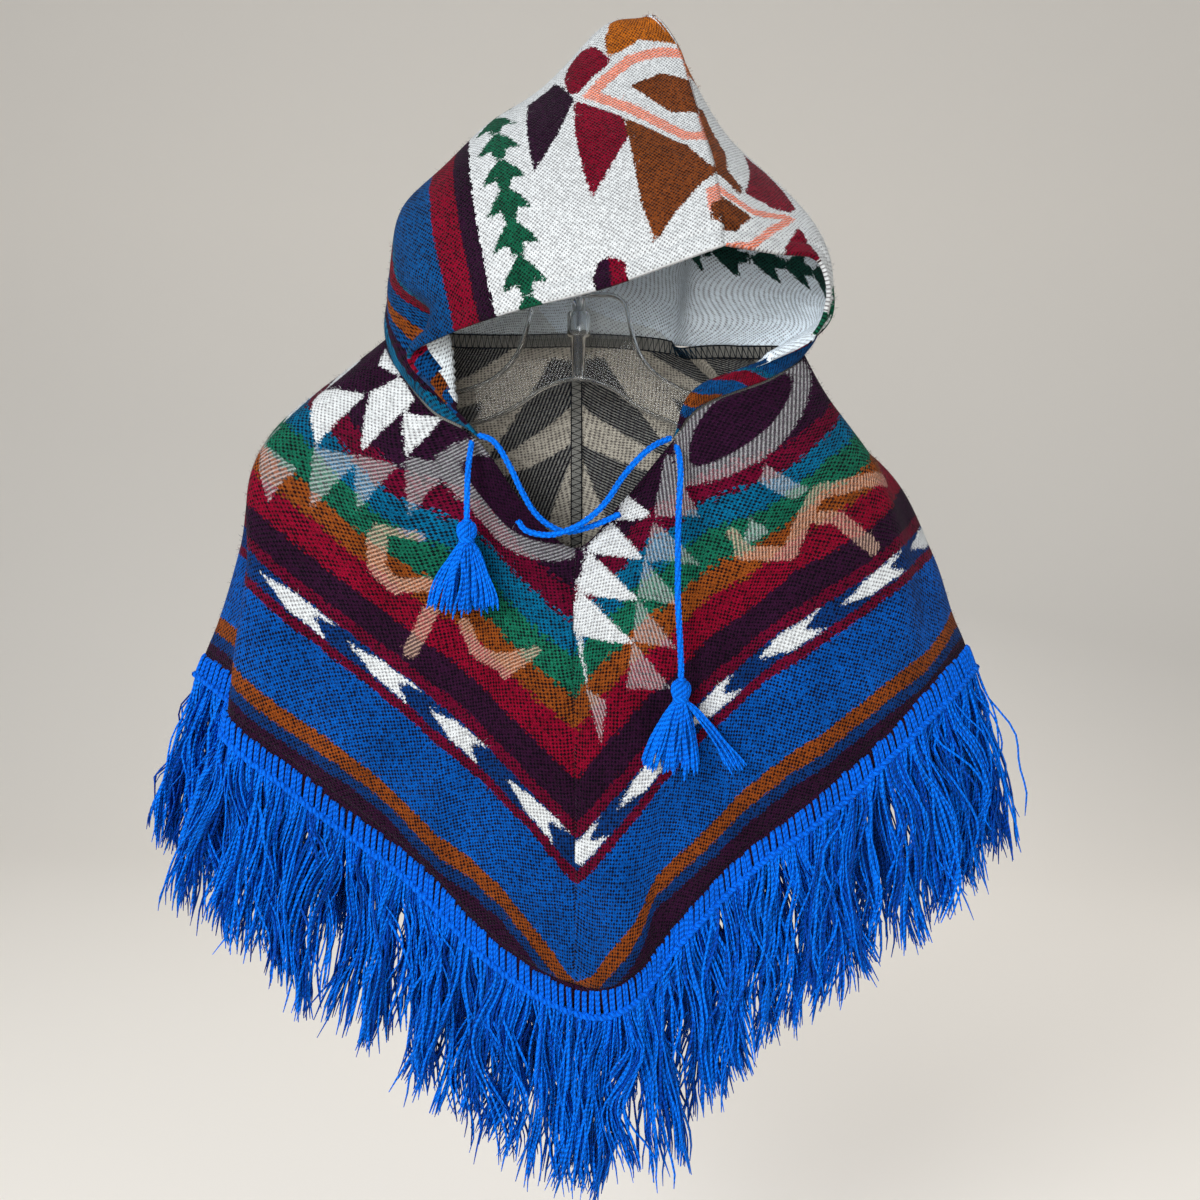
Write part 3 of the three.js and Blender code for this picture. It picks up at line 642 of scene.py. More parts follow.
def band_distance(s, t, line, half):
    """Distance into a band of the given half width along a line."""
    best = np.full(s.shape, -99.0)
    p = np.stack([s, t], -1)
    for a, b in zip(line[:-1], line[1:]):
        a, b = np.array(a, float), np.array(b, float)
        share = np.clip(((p - a) @ (b - a)) / ((b - a) @ (b - a)), 0, 1)
        best = np.maximum(best, half - np.linalg.norm(p - a - share[..., None] * (b - a), axis=-1))
    return best


def union(*fields):
    return np.maximum.reduce(fields)


def within(s, t, shapes):
    """Distance in mm into any of the polygons."""
    return union(*[inside_distance(s, t, shape) for shape in shapes])


# How far the stripes stray from the hem's own run: the distance from the centre-front seam, and the mm added
# at the low and at the high t
STRAY_LOW, STRAY_HIGH = 25, 88
STRAY = dict(
    left=[(0, 15, 6.5), (7, 9.5, 3), (14, 6, 0), (24, 1, -3), (36, -3, -4), (54, -2.4, -2), (75, 2, 1),
          (94, 2, -2), (112, -1, -4), (130, -2, -4), (160, 0, -2), (190, 1, 0)],
    right=[(0, 15.5, 7), (7, 12, 1.5), (13, 7.5, -1.5), (19, 4.6, -3), (25, 2.6, -5), (34, -1, -5.4),
           (42, -6.4, -5), (56, -5.9, -4), (87, -2.1, -3), (110, -2.4, -9), (131, -3.4, -8), (165, -1.5, -4),
           (190, 1, 0), (215, 4.5, 2), (240, 2, 0)])


def stray(side, s, t):
    place, low, high = np.transpose(STRAY[side])
    from_seam = s - MITRE * t
    low, high = np.interp(from_seam, place, low), np.interp(from_seam, place, high)
    share = np.clip((t - STRAY_LOW) / (STRAY_HIGH - STRAY_LOW), -0.1, 1.3)
    fade = np.clip((200 - t) / 50, 0, 1)
    return (low + (high - low) * share) * fade


# Forked arrows in the blue band: where the tips lie along each half, in mm of cloth from the centre front
ARROW_TIPS = dict(left=(1, 43, 86, 133, 173, 212, 254, 297, 339, 381, 424, 466, 508),
                  right=(31, 73, 116, 159, 200, 242, 284, 326, 369, 411, 453, 496, 538))
ARROW = [(0, 68.6), (-5, 69.4), (-9, 69.8), (-11, 71), (-17, 71.3), (-34, 72), (-24, 68.6), (-25, 67.4),
         (-32, 63.4), (-21, 64), (-14, 64), (-10, 65.6), (-5, 67)]
# Cream triangles (s, t) of each front, then the hatched ones below them, and the hatched hooks
CREAM_SHAPES = dict(
    left=[[(237, 150), (221, 163), (214, 133)], [(220, 179), (209, 176), (204, 145), (221, 165)],
          [(208, 169), (197, 176), (194, 154)], [(236, 186), (226, 190), (218, 182), (222, 178), (229, 176)],
          [(254, 160), (240, 172), (236, 152)], [(262, 134), (248, 148), (240, 126)]],
    right=[[(153, 168), (155, 152), (144, 161)], [(143, 162), (143, 140), (129, 157)],
           [(130, 156), (132, 128), (117, 144)], [(118, 144), (120, 116), (104, 131)],
           [(106, 130), (107, 129), (94, 110)]])
HATCHED_SHAPES = dict(
    left=[[(229, 118), (212, 120), (214, 101)], [(214, 132), (202, 143), (202, 110)],
          [(204, 142), (193, 150), (192, 123)], [(194, 154), (182, 160), (180, 132)],
          [(240, 122), (229, 128), (226, 104)], [(186, 168), (171, 172), (173, 146)]],
    right=[[(172, 170), (171, 136), (155, 151)], [(154, 150), (161, 119), (143, 139)],
           [(143, 139), (145, 112), (132, 129)], [(132, 129), (132, 101), (120, 117)],
           [(120, 117), (120, 91), (106, 104)], [(94, 111), (84, 92), (97, 104)],
           [(200, 147), (209, 129), (203, 128), (195, 141)], [(186, 128), (190, 120), (178, 118)]])
# Hatched bands: a line and its half width
HATCHED_BANDS = dict(
    left=[([(183, 118), (178, 106), (170, 103), (162, 110)], 3.0),
          ([(141, 106), (131, 102), (120, 106), (112, 115)], 3.2), ([(155, 101), (152, 83)], 3.0),
          ([(184, 122), (174, 126)], 2.0), ([(113, 105), (110, 119)], 2.2)],
    right=[([(177, 116), (192, 108), (205, 121), (211, 126), (225, 118), (244, 104)], 3.0),
           ([(207, 115), (212, 111), (216, 97), (220, 86)], 2.6), ([(178, 125), (178, 116)], 2.2)])
# Ovals near the neck, dark with a hatched rim
OVALS = dict(left=dict(middle=(152, 165), half_long=28, half_short=11, tilt=-8),
             right=dict(middle=(200, 168), half_long=24, half_short=9, tilt=28))
OVAL_RIM = 8.0
BACK_FROM = 300          # s past which the hidden back has its own plain repeat
BACK_REPEAT = 46.0


def back_shapes(s, t, end):
    """The hidden back: rows of triangles of its own, mirrored on the centre-back seam."""
    shapes = [[(5, 168), (23, 206), (41, 168)], [(-14, 236), (0, 176), (14, 236)],
              [(32, 236), (46, 176), (60, 236)], [(14, 158), (23, 128), (32, 158)]]
    return np.where(s > BACK_FROM - 45, within(np.mod(end - s, BACK_REPEAT), t, shapes), -99.0)


def body_fields(side, s, t, stripe_t):
    oval = OVALS[side]
    core = oval_distance(s, t, **oval)
    wider = {key: oval[key] + OVAL_RIM for key in ("half_long", "half_short")}
    rim = oval_distance(s, t, **{**oval, **wider})
    front = np.where(s < BACK_FROM, 0.0, -99.0)
    hatched = union(within(s, t, HATCHED_SHAPES[side]), rim) + front
    bands = union(*[band_distance(s, t, line, half) for line, half in HATCHED_BANDS[side]]) + front
    towards = 1 if side == "left" else -1
    arrows = union(*[inside_distance((s - tip) * towards, stripe_t, ARROW) for tip in ARROW_TIPS[side]])
    fields = dict(f_arrow=arrows, f_hatch=np.minimum(hatched, -core), f_hooks=bands, f_core=core + front,
                  f_cream=within(s, t, CREAM_SHAPES[side]) + front, f_back=back_shapes(s, t, s.max()))
    return {key: value.ravel() for key, value in fields.items()}


body_cloth = blanket("blanket_cloth_outside", BODY_STRIPES, [
    ("f_hatch", CREAM, "hatch"), ("f_hooks", rgb(250, 206, 180), "hatch"), ("f_core", PLUM, "solid"),
    ("f_cream", CREAM, "pale"), ("f_back", CREAM, "pale"), ("f_arrow", CREAM, "pale")])
REVERSE_MOTIFS = [("f_cream", rgb(60, 44, 50), "solid"), ("f_back", INK, "twill"), ("f_arrow", PLUM, "solid")]
REVERSE_STRIPES = [*BODY_STRIPES[:-1], (147.5, rgb(196, 188, 172))]
body_reverse = blanket("blanket_cloth_inside", REVERSE_STRIPES, REVERSE_MOTIFS, reverse=True)

# Creases pressed in: start and end in (s, t), half width and height in mm
CREASES = dict(
    left=[((96, 150), (120, 40), 9, 1.1), ((196, 176), (168, 60), 13, -1.3), ((60, 70), (78, 14), 10, -1),
          ((150, 120), (146, 20), 15, 1.2), ((236, 178), (222, 40), 8, 1.4),
          ((420, 200), (400, 30), 16, 1.6), ((350, 200), (356, 40), 13, -1.5)],
    right=[((104, 120), (92, 16), 8, 1.5), ((70, 60), (62, 14), 7, -1.2), ((190, 150), (160, 50), 14, -1.2),
           ((150, 140), (130, 30), 11, 1), ((240, 170), (226, 30), 10, 1.3),
           ((410, 200), (396, 30), 15, -1.6), ((345, 190), (356, 40), 12, 1.5)])
SLACK = 0.35             # height of the cloth's small unevenness, in mm
CREASE_DEPTH = 1.5       # creases and unevenness together are this many times as high


def crease_height(side, s, t):
    total = np.zeros(s.shape)
    p = np.stack([s, t], -1)
    for start, end, half, height in CREASES[side]:
        length = np.linalg.norm(np.subtract(end, start))
        run = np.subtract(end, start) / length
        along = (p - start) @ run / length
        across = (p - start) @ np.array([-run[1], run[0]])
        fade = np.clip(np.minimum(along + 0.15, 1.15 - along) / 0.35, 0, 1)
        total += height * fade**2 * (3 - 2 * fade) * np.exp(-(across / half) ** 2)
    total += SLACK * (np.sin(s / 9.3 + t / 31) * np.sin(t / 12.1 - s / 43) + 0.6 * np.sin(s / 4.7 - t / 17))
    return CREASE_DEPTH * total * np.clip((t - BAND_HEIGHT) / 10, 0, 1)


def shell(name, outer, inner, uv, sign, parts, fields, turned_in=None):
    """A thin closed shell between two grids. Where it is turned in, both faces have the first material."""
    columns, rows = outer.shape[:2]
    count = columns * rows
    points = np.concatenate([outer.reshape(-1, 3), inner.reshape(-1, 3)])
    front = grid_faces(columns, rows, 0, sign < 0)
    back = grid_faces(columns, rows, count, sign > 0)
    rim = np.concatenate([np.arange(columns) * rows, (columns - 1) * rows + np.arange(1, rows),
                          np.arange(columns - 2, -1, -1) * rows + rows - 1, np.arange(rows - 2, 0, -1)])
    ahead = np.roll(rim, -1)
    side = np.stack([rim, rim + count, ahead + count, ahead], 1)
    if sign < 0:
        side = side[:, ::-1]
    reverse = np.ones(len(back)) if turned_in is None else np.where(turned_in[back.min(1) - count], 0, 1)
    material = np.concatenate([np.zeros(len(front)), reverse, np.zeros(len(side))])
    both = {key: np.concatenate([value, value]) for key, value in fields.items()}
    faces = np.concatenate([front, back, side])
    return add_mesh(name, points, faces, np.concatenate([uv, uv]), parts, material, both)


BODY_COLUMNS, BODY_ROWS = 240, 96
RIGHT_START = dict(body=517, hood=400)      # on a right half the weave runs back from here, and so leans back
half_surface = {}
nap_ground = {}
for side in ("left", "right"):
    points, s, t = body_half(side, BODY_COLUMNS, BODY_ROWS)
    sign = -1 if side == "left" else 1
    normal = grid_normals(points) * sign
    lift = crease_height(side, s, t)[..., None]
    seam = np.exp(-((s - MITRE * t) / 2.2) ** 2)[..., None] * 0.7      # the centre-front seam sinks a little
    outer = points + normal * (lift - seam)
    inner = points + normal * (lift - CLOTH)
    half_surface[side] = (points, normal)
    stripe_t = t + stray(side, s, t)
    fields = body_fields(side, s, t, stripe_t)
    signed = s if side == "left" else RIGHT_START["body"] - s
    uv = np.stack([signed.ravel(), stripe_t.ravel()], 1)
    piece = shell("body_" + side + "_cloth", outer, inner, uv, -sign, [body_cloth, body_reverse], fields)
    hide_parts("body_" + side)
    nap_ground["body_" + side] = (outer, normal, uv, fields)


# ---- the hood

HOOD_SIDES = dict(left=(HOOD_LEFT, 2, 1.0), right=(HOOD_RIGHT, 18, 0.84))   # rows, corner line, stripe scale
HOOD_U, HOOD_V = 110, 120
STRIPE_LEAN = 0.09       # how far the hood's stripes drift from the crown seam for each mm back from the face
TREE_TIPS = (-12, 5.7, 23.5, 42.5, 60, 77, 96, 114, 132, 150, 168, 186)
TREE = [(1, 0), (-6, 6), (-14.5, 11), (-12.5, 3.4), (-18, 3), (-18, -3), (-12.5, -3.4), (-14.5, -11),
        (-6, -6)]
PLUM_FEATHER = [(114, 82), (124, 67), (113, 61), (106, 58), (84, 68), (64, 80), (75, 81.5), (98, 83)]
CRIMSON_CAP = [(132, 60), (141, 53), (140, 46), (128, 38.5), (119, 43), (115, 49), (109, 57), (112, 61),
               (122, 63)]
OCHRE_CAP = [(130, 40), (142, 40), (153, 35), (157, 24), (159, 6), (159, -4), (143, -4), (129, 3), (135, 11),
             (137, 22), (132, 32)]
DIAMOND = [(106, 59), (119, 48), (132, 31), (135, 10), (131, -8), (62, -8), (65, 12), (90, 37)]
DIAMOND_CORE = [(109, 31), (115, 14), (108, -4), (86, -4), (89, 14)]
CRIMSON_SPIKE = [(106, 58), (90, 37), (77, 34), (59, 46), (44, 55), (62, 58.5), (85, 60)]
BROWN_SPIKE = [(89, 36.5), (65, 11), (50, 4), (44, -2), (36, 8), (24, 20), (11, 30), (37, 34.5), (75, 36)]
HEM_SPOT = [(12, 55), (13, 50), (8, 43), (-3, 43), (-3, 57), (5, 58)]
LOW_DIAMOND = [(42, -8), (34, 9), (18, 9), (-2, -8)]
LOW_CORE = [(26, -4), (23, 5), (14, 5), (8, -4)]
RIGHT_BAND = [(44, -2), (92, -2), (90, 4), (60, 8), (46, 6), (36, 12), (30, 10)]
RIGHT_DIAMOND = [(44, -8), (32, 5), (25, 16), (28, 33), (23, 42), (10, 27), (-3, 15), (-8, -8)]
RIGHT_CORE = [(27, -4), (26, 1), (17, 14), (8, 6), (6, -4)]
RIGHT_CRIMSON = [(72, 24), (60, 34), (45, 38), (30, 40), (26, 33), (33, 13), (50, 19)]
RIGHT_LOW = [(18, 38), (5, 44), (-4, 53), (-4, 29), (3, 29)]
RIGHT_PLUM = [(86, 60), (76, 46), (58, 62), (40, 74), (60, 76)]
RIGHT_OCHRE = [(120, 34), (132, 20), (134, -4), (112, -4), (114, 20)]
HOOD_SHAPES = dict(
    left=dict(ring=[DIAMOND, LOW_DIAMOND], brown_core=[DIAMOND_CORE, LOW_CORE], plum=[PLUM_FEATHER],
              crimson=[CRIMSON_CAP, CRIMSON_SPIKE], brown=[BROWN_SPIKE], ochre=[OCHRE_CAP]),
    right=dict(ring=[RIGHT_DIAMOND], brown_core=[RIGHT_CORE], plum=[RIGHT_PLUM],
               crimson=[RIGHT_CRIMSON, RIGHT_LOW], brown=[RIGHT_BAND], ochre=[RIGHT_OCHRE]))
RINGS = dict(left=(3.0, 9.0), right=(2.4, 6.2))       # start and end of the diamond's ring, from its rim
TREE_LINE = dict(left=(87, 0.115), right=(79, 0.1))   # tau of the trees at the face, and its rise along sigma
HEM_FOLD = 8.5           # the stitching of the turned edge, mm back from the face
BACK_SHIFT = 138.0       # the motifs repeat this far back round the head


def hood_fields(side, sigma, tau, rho):
    repeat = np.where(sigma > BACK_SHIFT + 24, sigma - BACK_SHIFT, sigma)
    fields = {"f_" + key: within(repeat, tau, shapes) for key, shapes in HOOD_SHAPES[side].items()}
    if side == "left":
        spot = inside_distance(sigma, tau, HEM_SPOT)
        fields["f_crimson"] = union(fields["f_crimson"], spot)
        fields["f_plum"] = union(fields["f_plum"], np.minimum(spot, tau - 50))
    start, end = RINGS[side]
    at_face, rise = TREE_LINE[side]
    centre = at_face + rise * sigma
    fields["f_band"] = np.minimum(fields["f_ring"] - start, end - fields["f_ring"])
    fields["f_tree"] = union(*[inside_distance(sigma - tip, tau - centre, TREE) for tip in TREE_TIPS])
    fields["f_stripe"] = rho
    return {key: value.ravel() for key, value in fields.items()}


HOOD_MOTIFS = [("f_tree", rgb(16, 80, 56), "solid"), ("f_crimson", CRIMSON, "solid"),
               ("f_plum", PLUM, "solid"), ("f_ochre", OCHRE, "solid"), ("f_brown", SIENNA, "solid"),
               ("f_ring", CREAM, "pale"), ("f_band", SALMON, "salmon"), ("f_brown_core", SIENNA, "solid")]
hood_cloth_outside = blanket("hood_cloth_outside", HOOD_STRIPES, HOOD_MOTIFS, along="f_stripe", blend=False)
LINING = [(0, rgb(230, 240, 248)), (150, rgb(214, 220, 222)), (196, rgb(40, 60, 62))]
hood_cloth_inside = blanket("hood_cloth_inside", LINING, [("f_tree", rgb(22, 60, 52), "solid")],
                            along="f_stripe", blend=False)

hood_u = np.linspace(0, 1, HOOD_U)
hood_v = np.linspace(0, 1, HOOD_V)
hood_points = {side: hood_grid(rows, corner, hood_u, hood_v)
               for side, (rows, corner, _) in HOOD_SIDES.items()}
hood_measure = {side: hood_cloth(grid) for side, grid in hood_points.items()}
# the peak is rounded off, and stands up fuller than the panels' own rows
PEAK, PEAK_LIFT, PEAK_SPREAD = (20, 4, 66), np.array([0.2, -0.4, 8.2]), 21.0
CORNER, CORNER_SPREAD = (33, 4, 69), 9.0
SMOOTHING_PASSES = 60
for side, grid in hood_points.items():
    ease = np.exp(-(np.linalg.norm(grid - CORNER, axis=2) / CORNER_SPREAD) ** 2)[..., None]
    for _ in range(SMOOTHING_PASSES):
        even = grid.copy()
        even[1:-1, 1:-1] = (grid[:-2, 1:-1] + grid[2:, 1:-1] + grid[1:-1, :-2] + grid[1:-1, 2:]) / 4
        even[1:-1, -1] = (grid[:-2, -1] + grid[2:, -1]) / 2
        even[-1, 1:-1] = (grid[-1, :-2] + grid[-1, 2:]) / 2
        even[-1, -1] = (grid[-2, -1] + grid[-1, -2]) / 2
        grid = grid + (even - grid) * ease
    away = np.linalg.norm(grid - PEAK, axis=2)[..., None]
    hood_points[side] = grid + PEAK_LIFT * np.exp(-(away / PEAK_SPREAD) ** 2)
# behind its edge the left panel folds in above the neck, so that its lining shows
PANEL_FOLD = (24.0, 2.0, 0)
FOLD_AT, FOLD_SPREAD = (17, 170), (12, 24)      # sigma and tau
sigma, tau = hood_measure["left"]
fold = np.exp(-((sigma - FOLD_AT[0]) / FOLD_SPREAD[0]) ** 2 - ((tau - FOLD_AT[1]) / FOLD_SPREAD[1]) ** 2)
fold *= 1 - np.exp(-(sigma / 7) ** 2)
fold *= np.clip((tau[:, :1] - tau) / 12, 0, 1)
hood_points["left"] = hood_points["left"] + PANEL_FOLD * fold[..., None]
hood_normal = {"left": -grid_normals(hood_points["left"]), "right": grid_normals(hood_points["right"])}
for side, other, sign in (("left", "right", 1), ("right", "left", -1)):
    points, own = hood_points[side], hood_normal[side]
    sigma, tau = hood_measure[side]
    rho = (tau - STRIPE_LEAN * sigma) / HOOD_SIDES[side][2]
    # the inner face is mitred where the panels meet
    inner_way = own.copy()
    for where in (np.s_[-1, :], np.s_[:, -1]):
        shared = unit(own[where] + hood_normal[other][where])
        inner_way[where] = shared / np.maximum((shared * own[where]).sum(-1, keepdims=True), 0.7)
    from_seam = sigma[-1:] - sigma
    ridge = 0.5 * np.exp(-(tau / 2.4) ** 2) + 0.5 * np.exp(-(from_seam / 2.4) ** 2)
    hem = 0.9 * np.exp(-((sigma - HEM_FOLD) / 1.5) ** 2)
    slack = 0.5 * np.sin(sigma / 11 + tau / 23) * np.sin(tau / 9.5 - sigma / 37)
    slack *= np.clip(np.minimum(sigma / 8, np.minimum(from_seam / 10, tau / 10)), 0, 1)
    outer = points + own * (slack - ridge - hem)[..., None]
    inner = points - inner_way * CLOTH + own * slack[..., None]
    fields = hood_fields(side, sigma, tau, rho)
    signed = sigma if side == "left" else RIGHT_START["hood"] - sigma
    uv = np.stack([signed.ravel(), tau.ravel()], 1)
    piece = shell("hood_" + side + "_cloth", outer, inner, uv, sign, [hood_cloth_outside, hood_cloth_inside],
                  fields, (sigma < HEM_FOLD).ravel())
    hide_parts("hood_" + side)
    nap_ground["hood_" + side] = (outer, own, uv, fields)

# ---- raised nap

FIBRES = dict(body_left=5600, body_right=5600, hood_left=3600, hood_right=2600)
FIBRE_WIDTH = 0.11
# Along a fibre: its run, rise, curl and width
FIBRE_WAY = [(0, 0, 0, 1), (0.35, 0.5, 0.1, 1), (0.7, 0.85, 0.5, 0.8), (1, 0.9, 1, 0.2)]


def nap(name, grid, out, uv, fields, count):
    """Short stray fibres of the brushed cloth, lying a little off its face, in the colour of their roots."""
    columns, rows = grid.shape[:2]
    i, j = rng.integers(0, columns - 1, count), rng.integers(0, rows - 1, count)
    a, b = rng.random((2, count, 1))
    root = between(grid, i, j, a, b)
    up = out[i, j]
    way = rng.normal(size=(count, 3))
    way = unit(way - up * (way * up).sum(1, keepdims=True))
    side = np.cross(way, up)
    long = rng.uniform(1.2, 3.4, (count, 1))
    rise = rng.uniform(0.1, 1.0, (count, 1))
    curl = side * rng.normal(0, 0.35, (count, 1))
    rails = []
    for along, high, bent, width in FIBRE_WAY:
        middle = root + long * (way * along * (1 - 0.45 * rise) + up * high * rise * 0.7 + curl * bent)
        rails += [middle - side * FIBRE_WIDTH * width / 2, middle + side * FIBRE_WIDTH * width / 2]
    points = np.stack(rails, 1).reshape(-1, 3)
    base = ((np.arange(count) * len(rails))[:, None] + np.arange(0, len(rails) - 2, 2)).ravel()
    faces = np.stack([base, base + 1, base + 3, base + 2], 1)
    at = i * rows + j
    on_body = name.startswith("body")
    piece = add_mesh(name + "_nap", points, faces, np.repeat(uv[at], len(rails), axis=0),
                     [body_cloth if on_body else hood_cloth_outside],
                     extra={key: np.repeat(value[at], len(rails)) for key, value in fields.items()})
    return piece


nap_pieces = {name: nap(name, *nap_ground[name], count) for name, count in FIBRES.items()}

# ---- the whipstitched edge and the fringe

BANDS = dict(front_left=(0, 6), back_left=(6, 10), back_right=(10, 14), front_right=(14, 20))   # body lines
BAND_END = 0.25          # each band stops short of its neighbours by this much
STITCH_PITCH = 3.5
STITCH_HEIGHT = 10.2     # of the stitches over the cut edge
STITCH_YARN = 0.72       # radius of each of the two strands of a stitch
STITCH_SPREAD = 0.6      # of a strand from the middle of its stitch
BRAID_PLY, BRAID_TURN = 1.05, 7.5
FRINGE_PITCH = 0.262      # mm along the hem for each yarn
FRINGE_YARN = 0.62       # radius
FRINGE_LENGTH = 80.0
FRINGE_FAN = 0.075       # sideways spread for each mm from the middle
FRINGE_STEPS = 14
WILD_SHARE, SHORT_SHARE = 0.07, 0.15     # of the yarns: those that lean far out, and those cut short
FRINGE_REACH = ((-214, 218), (-80, 38))       # the furthest that a yarn may swing, in X and in Y

EDGE_STEP = 3.0
EDGE_HEIGHTS = EDGE_STEP * np.arange(6)
edge_around = np.linspace(0, 1, 1601)
edge_points = body_at(edge_around, EDGE_HEIGHTS)
edge_normals = -grid_normals(edge_points)
edge_run = running_length(edge_points[:, 0])


def at_edge(run, height, lift):
    """Points on the hem: run along the cut edge, height above it and lift off the outer face, all in mm."""
    around = np.interp(run, edge_run, np.arange(len(edge_run)))
    i = np.clip(around.astype(int), 0, len(edge_run) - 2)
    row = np.clip(height / EDGE_STEP, 0, len(EDGE_HEIGHTS) - 1.001)
    j = row.astype(int)
    point, normal = (between(grid, i, j, (around - i)[..., None], (row - j)[..., None])
                     for grid in (edge_points, edge_normals))
    down = unit(edge_points[i, 0] - edge_points[i, 1])
    return point - down * np.minimum(height, 0)[..., None] + normal * np.asarray(lift)[..., None]


# A stitch from its hole down the front, round the edge and up the back: the share of its height, and its lift
STITCH_WAY = [(1.0, -1.0), (1.0, 0.4), (0.92, 0.9), (0.6, 1.05), (0.25, 1.1), (0.05, 1.0), (-0.07, 0.3),
              (-0.1, -1.0), (-0.07, -2.3), (0.05, -3.0), (0.25, -3.1), (0.6, -3.05), (0.92, -2.9),
              (1.0, -2.4), (1.0, -1.2)]

# the covered edge is near-black along its lowest 3 mm, as painted shade under the braid, and plum above
edge_cloth = blanket("blanket_cloth_edge", [(0, INK), (3, PLUM)], [])
BAND_PARTS = [yarn_blue, edge_cloth, yarn_shaded, yarn_whip]
YARN, EDGE, SHADED, WHIP = range(4)


